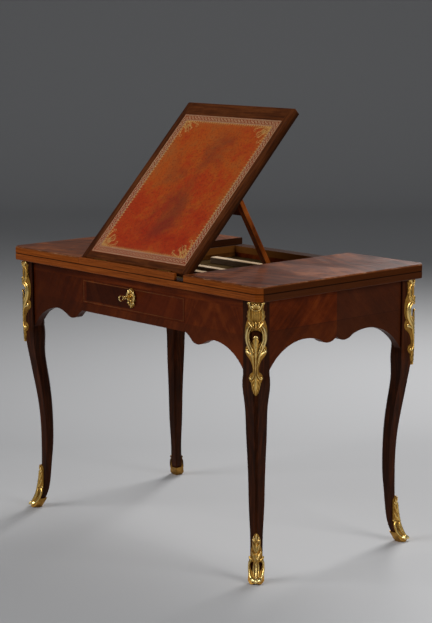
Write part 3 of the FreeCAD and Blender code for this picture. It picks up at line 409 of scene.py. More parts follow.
def beside_slope(split):
    """Mask of the panels' faces beside the slope."""
    return between(split[0], *PANEL_GAP, 0.0003)


def rubbed_edge(split):
    """Mask of the top's rounded upper edge, where hands have worn the polish away."""
    x, y, z = split
    rounded = between(z, TOP_Z - 0.0035, TOP_Z - 0.0007, 0.0005)
    ends = spread(calc("ABSOLUTE", x), 0.4825, 0.4845)
    sides = spread(calc("ABSOLUTE", calc("SUBTRACT", y, MIDDLE_Y)), 0.2795, 0.2815)
    edges = calc("MAXIMUM", rounded, calc("MAXIMUM", ends, sides))
    return calc("MAXIMUM", edges, beside_slope(split))


def panel_faces(split, colour):
    """Figure on top, greyer to the left, long grain round the edge, wear and painted highlight on the
    rounded edge and its chips, and painted shade on the face beside the slope.
    """
    x, _, z = split
    colour = tint(spread(x, -0.18, -0.2, 0, 0.3), colour, LEFT_PANEL)
    edge = spread(z, TOP_Z - 0.0024, TOP_Z - 0.0034)
    colour = tint(edge, colour, edge_grain(split))
    # wear and painted highlight on the rounded edge
    rounded = between(z, TOP_Z - 0.0035, TOP_Z - 0.0004, 0.0007)
    colour = wash(rounded, 0.5, colour, WORN_EDGE_AND_HIGHLIGHT)
    on_edge = place("CombineXYZ", dict(enumerate(split))).outputs[0]
    knocks = noise(stretch(on_edge, (60, 60, 420)), detail=4, roughness=0.7)
    arris = between(z, TOP_Z - 0.0022, TOP_Z - 0.0004, 0.0003)
    # pale chips on the arris: wear and painted highlight
    chips_and_highlight = calc("MULTIPLY", spread(knocks, 0.5, 0.62, 0, 0.75), arris)
    colour = tint(chips_and_highlight, colour, CHIP_AND_HIGHLIGHT)
    colour = wash(layer_joint(split), 0.85, colour, JOINT_SHADOW)
    # painted shade on the faces beside the slope
    return wash(beside_slope(split), 0.9, colour, GAP_FACE_SHADE)


print("edges of the top ready")

# %% [markdown]
# ## Faces round the well
# The rim is bare brown oak where it faces the well, and the rack's bars are pale on top with painted shade
# on their sides. The slope's outer sides get painted shade towards their lower edge, so that mask is
# measured square to the slope's face, from the hinge's axis.

# %% Faces round the well
RIM_SHADOW = (0.006, 0.0024, 0.0012)
WELL_FACE = (0.15, 0.053, 0.01)
# painted shade on the rack bars' sides
BAR_SIDE_SHADE = (0.05, 0.026, 0.012)
# painted shade on the slope's outer sides
SLOPE_SIDE_SHADE = (0.013, 0.004, 0.0014)
WELL_X, WELL_Y = (-0.1818, 0.2078), (-0.235, 0.258)
BAR_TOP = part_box("rack_front_bar")[1][2]
TILT = math.radians(46.1)
JOINTS = {joint["name"]: joint for joint in frame["record"]["behaviour"]["joints"]}
AXIS = JOINTS["slope_tilt"]["pos_m"]
SLOPE_FACE = AXIS[2] * math.cos(TILT) - AXIS[1] * math.sin(TILT)
SLOPE_LEFT, SLOPE_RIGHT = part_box("slope_left_stile")[0][0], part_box("slope_right_stile")[1][0]


def rim_faces(split, _):
    """Long grain round the edge in place of plain grain, and brown oak where the rim faces the well."""
    colour = wash(layer_joint(split), 0.9, edge_grain(split), RIM_SHADOW)
    in_x, in_y = between(split[0], *WELL_X, 0.0004), between(split[1], *WELL_Y, 0.0004)
    return wash(in_x, in_y, colour, WELL_FACE)


def bar_side_shade(split, colour):
    """Painted shade on the bars' sides under their pale tops."""
    side = spread(split[2], BAR_TOP - 0.0008, BAR_TOP - 0.002, 0, 0.85)
    return tint(side, colour, BAR_SIDE_SHADE)


def stile_side_shade(split, colour):
    """Painted shade on the slope's outer sides, darker towards their lower edge."""
    inside = between(split[0], SLOPE_LEFT + 2 * HAIR, SLOPE_RIGHT - 2 * HAIR, HAIR)
    low = spread(split[2], SLOPE_FACE - 0.003, SLOPE_FACE - 0.015, 0.3, 0.9)
    return wash(calc("SUBTRACT", 1, inside), low, colour, SLOPE_SIDE_SHADE)


print("faces round the well ready")

# %% [markdown]
# ## The polished woods
# The legs are solid and straight-grained. The aprons and the drawer carry figured veneer, the top panels
# have the widest figure and the clearest polish, and the slope's frame is plain and darker. Each wood is the
# same function with other stops, another direction and another balance of streaks, cloud and ripple.

# %% Lay the polished woods
PANEL = [(0.22, (0.044, 0.0082, 0.0016)), (0.5, (0.134, 0.029, 0.0056)), (0.8, (0.274, 0.074, 0.016))]
FRAME = [(0.22, (0.044, 0.0102, 0.0022)), (0.5, (0.086, 0.021, 0.0042)), (0.8, (0.146, 0.0395, 0.009))]
STRAIGHT, PLAIN, WAVY, FIGURED = (0.6, 0.35, 0.05), (0.55, 0.4, 0.05), (0.45, 0.4, 0.15), (0.45, 0.35, 0.2)
CORNERS = ("front_left", "front_right", "back_left", "back_right")
STRUT_LEAN = math.radians(60.4)
SLOPE_GRAIN = {"streak": 150, "wander": 0.02}

dress(wood("leg_wood", "Z", "X", WALNUT, streak=130, wander=0.03, shares=STRAIGHT),
      *("leg_" + corner for corner in CORNERS))
dress(wood("end_veneer", "Z", "Y", AMBER, seam=MIDDLE_Y, lean=0.75, streak=60, wander=0.1, shares=WAVY,
           extra=end_border),
      "right_end_apron", "left_end_apron")
dress(wood("front_veneer", "Z", "X", AMBER, seam=0.31, lean=0.5, streak=55, wander=0.1, shares=WAVY,
           extra=front_border),
      "front_left_frieze", "front_right_frieze", "front_bottom_rail", "back_apron")
dress(wood("drawer_veneer", "Z", "X", AMBER, seam=0, lean=-0.6, streak=60, wander=0.12, shares=FIGURED,
           extra=drawer_leaves),
      "drawer_front")
dress(wood("rail_wood", "X", "Z", AMBER, streak=110, shares=PLAIN, extra=front_border), "front_top_rail")
dress(wood("panel_veneer", "X", "Y", PANEL, seam=MIDDLE_Y, lean=0.35, streak=42, wander=0.14,
           shares=FIGURED, polish=0.16, rough=(0.32, 0.42), gloss=0.05, extra=panel_faces,
           rubbed=rubbed_edge),
      "left_top_panel", "right_top_panel")
dress(wood("rim_wood", "X", "Y", CEDAR, streak=120, shares=PLAIN, extra=rim_faces, rubbed=layer_joint),
      "top_rim", "hinge_strip")
dress(wood("stile_wood", "Y", "X", FRAME, tilt=TILT, shares=PLAIN, extra=stile_side_shade, **SLOPE_GRAIN),
      "slope_left_stile", "slope_right_stile")
dress(wood("cross_wood", "X", "Y", FRAME, tilt=TILT, shares=PLAIN, **SLOPE_GRAIN),
      "slope_upper_rail", "slope_lower_rail", "strut_rail")
dress(wood("strut_wood", "Y", "X", CEDAR, tilt=-STRUT_LEAN, **SLOPE_GRAIN), "left_strut", "right_strut")
print("polished woods:", sum(material.name.endswith(("wood", "veneer")) for material in bpy.data.materials))

# %% [markdown]
# ## The dry oak inside
# Drawer, well and the back of the slope are plain planed oak without polish: pale on the rack's bars, which
# were renewed, dark on the well's walls, and darkened by painted shade on the well's floor. It is the same
# wood function with no coat.

# %% Lay the oak
OAK = [(0.2, (0.13, 0.07, 0.024)), (0.5, (0.28, 0.165, 0.062)), (0.8, (0.42, 0.275, 0.12))]
PALE_OAK = [(0.2, (0.46, 0.32, 0.19)), (0.5, (0.64, 0.48, 0.32)), (0.8, (0.76, 0.61, 0.44))]
WALL_OAK = [(0.2, (0.06, 0.02, 0.004)), (0.5, (0.13, 0.048, 0.01)), (0.8, (0.21, 0.09, 0.022))]
CORE_OAK = [(0.2, (0.07, 0.034, 0.011)), (0.5, (0.15, 0.08, 0.026)), (0.8, (0.24, 0.14, 0.052))]
# the well's floor is the oak darkened by painted shade
FLOOR_SHADE_SHARE = 0.22
SHADED_FLOOR_OAK = [(position, tuple(part * FLOOR_SHADE_SHARE for part in colour)) for position, colour in OAK]


def dry_oak(name, along, across, stops, **options):
    """Unpolished oak: the straight wood without its coat."""
    options = {"streak": 160, "rough": (0.6, 0.75), **options}
    return wood(name, along, across, stops, shares=STRAIGHT, polish=0, **options)


dress(dry_oak("oak_wood", "Y", "X", OAK, rough=(0.55, 0.7)),
      "left_drawer_runner", "right_drawer_runner", "drawer_left_side", "drawer_right_side",
      "drawer_back", "drawer_bottom")
dress(dry_oak("oak_bar", "X", "Y", PALE_OAK, streak=170, rough=(0.45, 0.6), extra=bar_side_shade),
      "rack_front_bar", "rack_middle_bar", "rack_rear_bar")
dress(dry_oak("well_floor_shaded_oak", "Y", "X", SHADED_FLOOR_OAK), "well_floor")
dress(dry_oak("wall_oak", "Y", "X", WALL_OAK),
      "well_left_wall", "well_right_wall", "left_foot_rest", "right_foot_rest")
dress(dry_oak("core_oak", "Y", "X", CORE_OAK, streak=120, tilt=TILT, wander=0.03), "slope_core")
print("oaks:", sum("oak" in material.name for material in bpy.data.materials))

# %% [markdown]
# ## Gilt bronze, brass and steel
# Gilding is burnished where it stands proud and stays dull, dark and a little dirty in the hollows. The
# mounts made below carry their relief as a number on each point, so the finish knows what is high and what
# is low. The plates behind them get a stippled ground, as a chaser leaves it.

# %% Lay the metals
GILT = [(0.05, (0.1, 0.04, 0.006)), (0.35, (0.5, 0.26, 0.048)),
        (0.62, (0.8, 0.5, 0.13)), (0.95, (0.96, 0.72, 0.29))]
STEEL, RUST = [(0.3, (0.2, 0.18, 0.16)), (0.7, (0.42, 0.39, 0.35))], (0.12, 0.055, 0.025)
gilt_group, entry, leave = new_group(
    "Gilding wear", {"Height": 0.5}, {"Color": "Color", "Roughness": "Float", "Stipple": "Float"},
)
patch = noise(stretch(entry["Vector"], (70, 70, 70)), detail=4)
stipple = place("TexVoronoi", {"Vector": entry["Vector"], "Scale": 900}).outputs["Distance"]
high = calc("MULTIPLY_ADD", patch, 0.5, calc("SUBTRACT", entry["Height"], 0.25))
feed(leave, {
    "Color": ramp(high, GILT), "Roughness": spread(high, 0.1, 0.8, 0.5, 0.2), "Stipple": stipple,
})


def gilding(name, height=None, stippled=0):
    """Gilt bronze whose height comes from the piece's own relief, or is the same all over."""
    material, shader = new_material(name)
    if height is None:
        height = place("Attribute", tree=shader.id_data, attribute_name="relief").outputs["Fac"]
    inputs = {"Vector": own_coords(shader), "Height": height}
    wear = place("Group", inputs, node_tree=gilt_group).outputs
    feed(shader, {
        "Base Color": wear["Color"], "Roughness": wear["Roughness"], "Metallic": 1,
        "Normal": bumped(wear["Stipple"], 0.25 + stippled, 0.0004),
    })
    return material


gilt_relief = gilding("gilt_relief")
dress(gilding("gilt_ground", 0.28, 0.3),
      *(stem + corner for stem in ("chute_", "sabot_") for corner in CORNERS), "escutcheon")
dress(gilding("old_brass", 0.14), "left_strut_bracket", "right_strut_bracket", "strut_pins")
dress(gilding("hinge_brass", 0), "left_hinge_fixed_leaf", "right_hinge_fixed_leaf",
      "left_hinge_moving_leaf", "right_hinge_moving_leaf", "hinge_pins")
dress(gilding("key_brass", 0.85), "key")

lock_steel, shader = new_material("lock_steel")
coords = own_coords(shader)
brushed = noise(stretch(coords, (900, 900, 60)), detail=3)
rust = noise(stretch(coords, (120, 120, 120)), detail=5)
steel = ramp(brushed, STEEL)
feed(shader, {
    "Base Color": tint(spread(rust, 0.55, 0.7, 0, 0.5), steel, RUST),
    "Roughness": spread(brushed, 0.2, 0.8, 0.3, 0.5),
    "Metallic": 1,
})
dress(lock_steel, "lock_case", "lock_bolt")
print("metals:", gilt_relief.name, "on the mounts,", lock_steel.name, "in the lock")

# %% [markdown]
# ## Paths for chased ornament
# Rococo ornament is made of few strokes: a round bar that swells and curls, a leaf with a midrib, and a fan
# of lobes. Each follows a path. A path is drawn by a few points, as with a pencil, and a curl carries it on
# in a spiral. Curve objects with a bevel could do the same, but arrays keep the relief under control.

# %% Draw paths
def drawn(points, count=48):
    """Smooth path through given points: a Catmull-Rom curve, which passes through each of them."""
    p = np.asarray(points, float)
    p = np.concatenate([2 * p[:1] - p[1:2], p, 2 * p[-1:] - p[-2:-1]])
    u = np.linspace(0, len(points) - 1, count)
    i = np.minimum(u.astype(int), len(points) - 2)
    f = (u - i)[:, None]
    a, b, c, d = p[i], p[i + 1], p[i + 2], p[i + 3]
    return 0.5 * (2 * b + (c - a) * f + (2 * a - 5 * b + 4 * c - d) * f ** 2
                  + (3 * b - a - 3 * c + d) * f ** 3)


def curled(path, size, turns, side, count=26):
    """A path with a spiral at its end, turning to its left (1) or right (-1) while its radius shrinks."""
    along = path[-1] - path[-2]
    along = along / np.linalg.norm(along)
    normal = side * np.array([-along[1], along[0]])
    angle = np.linspace(0, turns * 2 * np.pi, count + 1)[1:, None]
    radius = size * (1 - 0.7 * angle / angle[-1])
    spiral = path[-1] + normal * size + radius * (np.sin(angle) * along - np.cos(angle) * normal)
    return np.concatenate([path, spiral])


def line(start, end, count=20, sag=0):
    """Straight or slightly bowed path between two plane points."""
    t = np.linspace(0, 1, count)[:, None]
    start, end = np.asarray(start, float), np.asarray(end, float)
    chord = end - start
    normal = np.array([chord[1], -chord[0]])
    return start + chord * t + normal * sag * np.sin(np.pi * t)


def swell(count, low, high, power=1):
    """A radius that grows from its ends to its middle."""
    t = np.linspace(0, 1, count)
    return low + (high - low) * np.sin(np.pi * t ** power)


def taper(count, *values):
    """Sizes read along a path from a few evenly spaced values."""
    return np.interp(np.linspace(0, 1, count), np.linspace(0, 1, len(values)), values)


print("path helpers ready")

# %% [markdown]
# ## Bars and leaves
# A stroke is a stack of closed rings along its path, so it is a grid of two parameters: how far along, and
# how far round. A bar's ring is a circle. A leaf's ring is shallow below, with a dome, a midrib and veins
# above.

# %% Raise strokes from paths
def close_rings(rings):
    """Points and faces of stacked rings: quads between neighbours, and a fan to a pole at each end."""
    count, around = rings.shape[:2]
    index = np.arange(count * around).reshape(count, around)
    ahead = np.roll(index, -1, axis=1)
    quads = np.stack([index[:-1], ahead[:-1], ahead[1:], index[1:]], axis=-1).reshape(-1, 4)
    first = np.full(around, count * around)
    start = np.stack([ahead[0], index[0], first], axis=-1)
    end = np.stack([index[-1], ahead[-1], first + 1], axis=-1)
    points = np.concatenate([rings.reshape(-1, 3), rings[[0, -1]].mean(axis=1)])
    return points, quads.tolist() + start.tolist() + end.tolist()


def ringed(path, width, height):
    """Rings along a plane path: ring = path + width x (unit vector square to the path), at a height."""
    along = np.gradient(path, axis=0)
    along = along / np.linalg.norm(along, axis=1, keepdims=True)
    x = path[:, :1] + along[:, 1:] * width
    y = path[:, 1:] - along[:, :1] * width
    return close_rings(np.stack([x, y, height], axis=-1))


def column(size, path):
    """A size for each point of a path, as a column."""
    return np.broadcast_to(size, len(path))[:, None]


def ring_angles(around):
    """Even steps round a ring, as a row."""
    return np.linspace(0, 2 * np.pi, around, endpoint=False)[None, :]


def bar(path, radius, lift, around=12, flatten=1):
    """Round bar: ring = path + radius (cos a across, sin a outwards), lifted off the ground."""
    angle = ring_angles(around)
    radius = column(radius, path)
    return ringed(path, radius * np.cos(angle), column(lift, path) + flatten * radius * np.sin(angle))


def blade(path, half, height, lobes=0, around=22, rib=0.45):
    """Leaf: ring width = half length law with lobed edges; ring height = dome + midrib + slanting veins."""
    t = np.linspace(0, 1, len(path))[:, None]
    angle = ring_angles(around)
    c = np.cos(angle)
    edge = 1 + (0.2 * np.cos(2 * np.pi * lobes * t) if lobes else 0) * np.abs(c) ** 2
    dome = np.sqrt(np.clip(1 - c ** 2, 0, 1))
    midrib = rib * np.exp(-(c / 0.2) ** 2)
    veins = 0.16 * np.cos(2 * np.pi * (max(lobes, 1) * t + 0.8 * np.abs(c))) * np.abs(c) * (1 - c ** 2)
    upper = dome * (1 - rib) + midrib + veins
    face = np.where(np.sin(angle) >= -1e-9, upper, -0.25 * dome)
    return ringed(path, column(half, path) * edge * c, column(height, path) * face)


def scroll(points, radius, lift, around=12):
    """Bar along a path that is drawn through points."""
    return bar(drawn(points, len(radius)), radius, lift, around)


def curl(points, count, size, turns, side, radii, lift):
    """Bar along a drawn path that ends in a spiral."""
    path = curled(drawn(points, count), size, turns, side)
    return bar(path, taper(len(path), *radii), lift)


def leaf(points, half, height, lobes=0, around=22):
    """Blade along a path that is drawn through points."""
    return blade(drawn(points, len(half)), half, height, lobes, around)


print("stroke helpers ready")

# %% [markdown]
# ## From strokes to a piece
# A mount is many strokes that sink into one another, as they do on a cast. They are gathered into one mesh,
# their faces are turned outwards, and the piece is told which body it rides on and given its material.

# %% Gather strokes into pieces
def flipped(form):
    """The same form on the other side of the middle line."""
    points, faces = form
    return points * np.array([-1, 1, 1]), [face[::-1] for face in faces]


def both(form):
    """A form and its reflection."""
    return [form, flipped(form)]


def join(forms):
    """Gather forms into one list of points and faces."""
    offsets = np.cumsum([0] + [len(points) for points, _ in forms[:-1]])
    faces = [[i + int(offset) for i in face] for (_, group), offset in zip(forms, offsets) for face in group]
    return np.concatenate([points for points, _ in forms]), faces


def new_mesh(name, points, faces, material):
    """A smooth mesh of points and faces with one material."""
    mesh = bpy.data.meshes.new(name)
    mesh.from_pydata(points.tolist(), [], faces)
    mesh.polygons.foreach_set("use_smooth", np.ones(len(mesh.polygons), bool))
    mesh.materials.append(material)
    return mesh


def make_piece(name, points, faces, body, material, relief=None):
    """Put points and faces into a smooth mesh with outward faces, and let it ride on a body."""
    mesh = new_mesh(name, points, faces, material)
    if relief is not None:
        mesh.attributes.new("relief", "FLOAT", "POINT").data.foreach_set("value", relief.astype(np.float32))
    shell = bmesh.new()
    shell.from_mesh(mesh)
    bmesh.ops.recalc_face_normals(shell, faces=shell.faces)
    shell.to_mesh(mesh)
    shell.free()
    piece = put(name, mesh)
    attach(piece, body)
    print("made", name, len(mesh.polygons), "faces")
    return piece


print("piece helpers ready")

# %% [markdown]
# ## Wrapping ornament on a leg
# A mount sits on the leg's outer corner, which is canted and leans in and out as the leg curves. The
# ornament is drawn flat in millimetres, as (sideways, height, outwards), and then laid on the corner: the
# corner's place comes from the leg's own curve, and points to either side fall back along the two flanks.
# The same drawing serves all four corners by reflection.

# %% Lay ornament on the corners
CORNER_X, CORNER_Y, BACK_Y = 460, -258.75, 282.25
KNEE, ANKLE = 505, 170
ANKLE_INSET, TOE_REACH = 28, 24
PLATE_THICK = 3
DIAGONAL = math.sqrt(0.5)


def leg_corner(z):
    """Corner's inset and its cant's width at heights z: a fourth power, and a cosine above the ankle."""
    low = np.clip(z / ANKLE, 0, 1)
    high = np.clip((z - ANKLE) / (KNEE - ANKLE), 0, 1)
    low_inset = ANKLE_INSET - TOE_REACH * (1 - low) ** 4
    high_inset = ANKLE_INSET * (1 + np.cos(np.pi * high ** 1.3)) / 2
    low_cant = 2 + 2 * np.clip((low - 0.4) / 0.6, 0, 1)
    high_cant = 4 + 5.5 * high ** 1.5
    return np.where(z < ANKLE, low_inset, high_inset), np.where(z < ANKLE, low_cant, high_cant)


def on_corner(points, corner):
    """World points of (sideways, height, outwards) on one corner's mount, in metres."""
    s, z, n = points.T
    inset, cant = leg_corner(z)
    past = np.abs(s) - cant * DIAGONAL
    fold = 0.5 * (past + np.sqrt(past ** 2 + 4))
    out = PLATE_THICK * math.sqrt(2) - cant * DIAGONAL - fold + n
    x = CORNER_X - inset + (out + s) * DIAGONAL
    y = CORNER_Y + inset + (s - out) * DIAGONAL
    if "left" in corner:
        x = -x
    if "back" in corner:
        y = CORNER_Y + BACK_Y - y
    return np.stack([x, y, z], axis=-1) * MM


def relief_height(points, full):
    """Relief as a number from 0 in the hollows to 1 on the crests."""
    return np.clip((points[:, 2] + 0.5) / full, 0, 1)


def mount_on_legs(stem, forms, full):
    """Lay one drawing on all four legs."""
    points, faces = join(forms)
    relief = relief_height(points, full)
    for corner in CORNERS:
        laid = on_corner(points, corner)
        make_piece(f"{stem}_{corner}", laid, faces, "carcase", gilt_relief, relief)


print("corner helpers ready")

# %% [markdown]
# ## The chutes: crest and reeds
# Each knee carries a tall mount. It starts with a shell of lobes between two ears, over a reeded panel
# between two frilled leaves. A fan is the same bar set round a point.

# %% Draw the chute's crest
CHUTE_TOP = 682
LOBE_POINTS = 14


def below(*points):
    """Points given by their side distance and their depth below the chute's top."""
    return [(side, CHUTE_TOP - depth) for side, depth in points]


def fan(base, radius, lengths, spread_angle, thick, lift):
    """Lobes radiating from a base point; each is a bar that swells and rises towards its tip."""
    lobes = []
    rise = lift + 2 * np.linspace(0, 1, LOBE_POINTS) ** 2
    for share, length in zip(np.linspace(-1, 1, len(lengths)), lengths):
        angle = math.radians(spread_angle) * share
        direction = np.array([math.sin(angle), math.cos(angle)])
        path = line(base + direction * radius, base + direction * (radius + length), LOBE_POINTS)
        lobes.append(bar(path, swell(LOBE_POINTS, 0.5, thick, 1.5), rise, 10))
    return lobes


chute = fan((0, CHUTE_TOP - 20), 4, (10.5, 13, 14.5, 13, 10.5), 44, 2.7, 1.6)
chute += both(curl(below((8.5, 19), (12, 14), (14.2, 8), (15.2, 4)), 20, 2.6, 0.8, -1,
                   (1.4, 2.5, 1.9, 1.2), 2.4))
chute.append(scroll(below((-11.5, 17.5), (0, 20), (11.5, 17.5)), swell(30, 1, 2), 2))
for offset in (-8.4, -4.2, 0, 4.2, 8.4):
    reed = line((offset, CHUTE_TOP - 21), (offset * 0.8, CHUTE_TOP - 49))
    chute.append(bar(reed, swell(20, 0.8, 2.2, 0.8), 0.4))
chute += both(leaf(below((12.5, 53), (15.6, 42), (16.2, 29), (13.8, 14)),
                   taper(44, 1, 4.4, 5, 4.2, 0.8), 4.4, 4, 24))
print("crest:", len(chute), "strokes")

# %% [markdown]
# ## The chutes: opening and tail
# Leaves gather over an opening that two C-scrolls frame, each a broad outer and a fine inner stroke, with a
# plume in it. Below, ears and strokes draw together into a stem with two small ears and a pointed leaf.

# %% Draw the chute's opening and tail
chute += both(leaf(below((20, 45), (14, 53), (7, 59.5), (0.6, 62.5)),
                   taper(30, 0.5, 3.8, 3.4, 0.8), 5, 3, 20))
chute += both(leaf(below((11, 43), (7.5, 51), (3.5, 58)), swell(24, 0.5, 3), 4.6, 2, 18))
chute.append(leaf(below((0, 45), (0, 54), (0, 66)), taper(24, 0.5, 4, 2.6, 0.3), 5.4, 2, 20))
outer = below((13.5, 56), (20, 65), (22.6, 80), (21, 96), (15.8, 110), (9.6, 124), (6, 146))
chute += both(scroll(outer, taper(70, 1.2, 3, 3.4, 3.2, 2.8, 2.2, 1.2), 2, 14))
inner = below((10.5, 62), (15.6, 70), (17.6, 82), (16, 95), (11, 107), (6, 121))
chute += both(scroll(inner, taper(56, 0.9, 1.9, 2.2, 2, 1.2), 2.6))
plume = below((0, 118), (0, 100), (0, 78))
chute.append(leaf(plume, taper(30, 0.6, 5.4, 6.4, 6.8, 0.6), 5.2, 3))
chute.append(scroll(below((-6, 84.5), (0, 80.5), (6, 84.5)), swell(22, 0.8, 2.2), 3.4))

chute += both(curl(below((8, 130), (13, 124), (18, 120.5), (21.5, 119)), 22, 2.6, 0.75, 1,
                   (1.2, 3, 2.4, 1.3), 2.4))
chute += both(leaf(below((13, 103), (8.5, 122), (4.6, 146), (3.4, 174)),
                   taper(44, 0.6, 3.6, 3.2, 2, 0.6), 4.6, 4, 20))
stem = below((0, 99), (0, 130), (0, 178))
chute.append(leaf(stem, taper(46, 0.6, 4.6, 4, 3.4, 0.8), 5.6, 5))
chute += both(curl(below((2.5, 166), (6.5, 176), (10.5, 181)), 18, 2.9, 0.8, 1, (1, 2.1, 2.3, 1.4), 2.2))
chute.append(blade(line(*below((0, 170), (0, 221)), 48), taper(48, 0.8, 5, 7, 6, 3.4, 0.3), 4.8, 4, 26))
for start, tip in (((1.5, 182), (10.5, 197)), ((1.5, 193), (8.5, 207)), ((1, 204), (5, 216))):
    chute += both(blade(line(*below(start, tip), 18, -0.12), swell(18, 0.4, 2.8, 0.9), 3.6, 2, 16))
mount_on_legs("chute_relief", chute, 6)

# %% [markdown]
# ## The sabots
# Each toe stands in a bronze shoe. Two tiers of leaves and a fan climb the front of the leg, a scroll
# frames each flank with a small curl at its upper end, a rib fills the middle, and the toe ends in a lobed
# roll just above the floor. The tiers are one pair of leaves drawn twice, the upper one smaller.

# %% Draw the sabot
sabot = []
for low, high, reach, width in ((52, 76, 11.5, 4.6), (72, 97, 9.6, 4.2)):
    tier = [(1.2, low), (reach * 0.45, low + (high - low) * 0.4), (reach, high)]
    sabot += both(leaf(tier, taper(26, 0.6, width, width * 0.8, 0.4), 4.2, 3, 20))
    middle_leaf = line((0, low), (0, high + 4), 26)
    sabot.append(blade(middle_leaf, swell(26, 0.5, width * 0.8, 0.8), 4.8, 3, 20))
sabot += fan((0, 92), 2, (13, 18, 24, 18, 13), 40, 2.4, 0.8)
flank = [(8, 12), (13.8, 15), (17, 24), (17.6, 36), (16.4, 47), (12.5, 54)]
sabot += both(scroll(flank, taper(46, 1.8, 2.9, 2.6, 2.4, 2.6, 1.6), 1.2))
sabot += both(curl([(9.5, 52), (13, 55.5), (16, 56.5)], 16, 2, 0.8, 1, (1, 1.9, 1.5, 0.9), 1.6))
sabot += both(scroll([(4.8, 16), (6.2, 28), (5.6, 42), (3, 52)], swell(30, 0.8, 1.9), 1.6))
sabot.append(blade(line((0, 14), (0, 56), 40), taper(40, 1, 4.6, 4.4, 3.6, 0.6), 5, 4))

roll_run = np.linspace(-1, 1, 48)
roll_radius = (5 + np.cos(roll_run * 3 * np.pi)) * np.sqrt(np.clip(1 - roll_run ** 6, 0.02, 1))
sabot.append(bar(np.stack([roll_run * 14.5, 10.5 + 1.6 * roll_run ** 2], axis=-1), roll_radius, 1.6, 16))
mount_on_legs("sabot_relief", sabot, 5)

# %% [markdown]
# ## The escutcheon
# A small cartouche guards the keyhole: a crest of lobes, two C-scrolls, a rim round the hole and a leaf
# below. The strokes are the same as on the legs, laid on a flat plate this time.

# %% Draw the escutcheon
plate_low, plate_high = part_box("escutcheon")
PLATE_Y = plate_low[1]
CENTRE_Z = (plate_low[2] + plate_high[2]) / 2 / MM
KEYHOLE_Z = 638.4


def plate(*points):
    """Points given by their side distance and their height over the plate's middle."""
    return [(side, CENTRE_Z + height) for side, height in points]


guard = fan((0, CENTRE_Z + 12.5), 1.5, (7, 9, 10.5, 9, 7), 52, 2.1, 0.8)
guard += both(scroll(plate((5.5, 15), (10.5, 14.5), (13.6, 8), (13.2, -1), (9.4, -8), (6, -13)),
                     taper(48, 0.9, 2.2, 2.6, 2.4, 1.6, 0.9), 1.2))
guard += both(curl(plate((4, -20), (7, -15), (9.8, -11.5)), 18, 1.8, 0.8, -1, (0.8, 1.7, 1.5, 0.9), 1.3))
guard += both(leaf(plate((3, 10), (7.5, 14), (11.5, 20)), swell(20, 0.3, 2.5), 2.8, 2, 16))
guard += both(leaf(plate((7.5, 9.5), (9, 2), (6.5, -7)), swell(22, 0.4, 2), 2.4, 2, 16))
guard.append(leaf(plate((0, -9), (0, -16), (0, -24.6)), taper(24, 0.6, 4.2, 3.4, 0.3), 3.2, 3))
rim_angle = np.linspace(0, 2 * np.pi, 48)
rim = np.stack([4.9 * np.cos(rim_angle), KEYHOLE_Z - 2.6 + 8 * np.sin(rim_angle)], axis=-1)
guard.append(bar(rim, 1.1, 0.8, 10))
points, faces = join(guard)
laid = np.stack([points[:, 0] * MM, PLATE_Y - points[:, 2] * MM, points[:, 1] * MM], axis=-1)
relief = relief_height(points, 3.5)
make_piece("escutcheon_relief", laid, faces, "drawer", gilt_relief, relief)

# %% [markdown]
# ## The leather's skin
# The writing face is one skin of leather, sunk a hair below its frame. Real leather isn't flat: it lifts and
# dips by fractions of a millimetre. The skin is a height field over the field's two sides, closed by walls
# and a back.

# %% Shape the leather
leather_low, leather_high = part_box("slope_leather")
SLOPE_X = (leather_low[0] + leather_high[0]) / 2
HALF_ACROSS = (leather_high[0] - leather_low[0]) / 2
FIELD_LOW, FIELD_HIGH = 0.0223, 0.487
HALF_ALONG = (FIELD_HIGH - FIELD_LOW) / 2
FIELD_MIDDLE = (FIELD_HIGH + FIELD_LOW) / 2
COLUMNS, ROWS = 62, 78
SUNK, WAVE, BACK_DEPTH, FLAT_EDGE = 0.0002, 0.00012, 0.0014, 0.03


def on_slope(across, along, out):
    """World points of the slope's flat coordinates, measured from the middle of its leather."""
    run = along + FIELD_MIDDLE
    x = SLOPE_X + across
    y = AXIS[1] + run * math.cos(TILT) - out * math.sin(TILT)
    z = AXIS[2] + run * math.sin(TILT) + out * math.cos(TILT)
    return np.stack([x, y, z], axis=-1)


def grid_faces(index):
    """Quads between the neighbours of a grid of point numbers."""
    quads = np.stack([index[:-1, :-1], index[:-1, 1:], index[1:, 1:], index[1:, :-1]], axis=-1)
    return quads.reshape(-1, 4).tolist()


across, along = np.meshgrid(np.linspace(-1, 1, COLUMNS) * HALF_ACROSS, np.linspace(-1, 1, ROWS) * HALF_ALONG)
inside = np.minimum(HALF_ACROSS - np.abs(across), HALF_ALONG - np.abs(along))
edge_fade = np.clip(inside / FLAT_EDGE, 0, 1)
waves = np.sin(across * 31 + 1.7 * np.sin(along * 17)) * np.sin(along * 23 + 2.1 * np.sin(across * 13))
skin = on_slope(across, along, WAVE * waves * edge_fade - SUNK).reshape(-1, 3)
flat = np.stack([across, along], axis=-1).reshape(-1, 2)
index = np.arange(COLUMNS * ROWS).reshape(ROWS, COLUMNS)
border = np.concatenate([index[0, :-1], index[:-1, -1], index[-1, :0:-1], index[:0:-1, 0]])
back = on_slope(flat[border, 0], flat[border, 1], np.full(len(border), -BACK_DEPTH))
under = COLUMNS * ROWS + np.arange(len(border))
walls = np.stack([border, under, np.roll(under, -1), np.roll(border, -1)], axis=-1)
leather_points = np.concatenate([skin, back])
leather_faces = grid_faces(index) + walls.tolist() + [under[::-1].tolist()]
print("leather:", len(leather_points), "points")

# %% [markdown]
# ## The leather's finish
# Old red leather is mottled: redder low down and browner higher up, with a dark stain along the middle, fine
# dark flecks, and a worn brown band with pale scuffs under the tooling. A painted picture could hold this,
# but noise stays sharp at any size. It is laid by the skin's own flat coordinates, kept as a UV map in
# metres, so that the colours tilt with the slope.

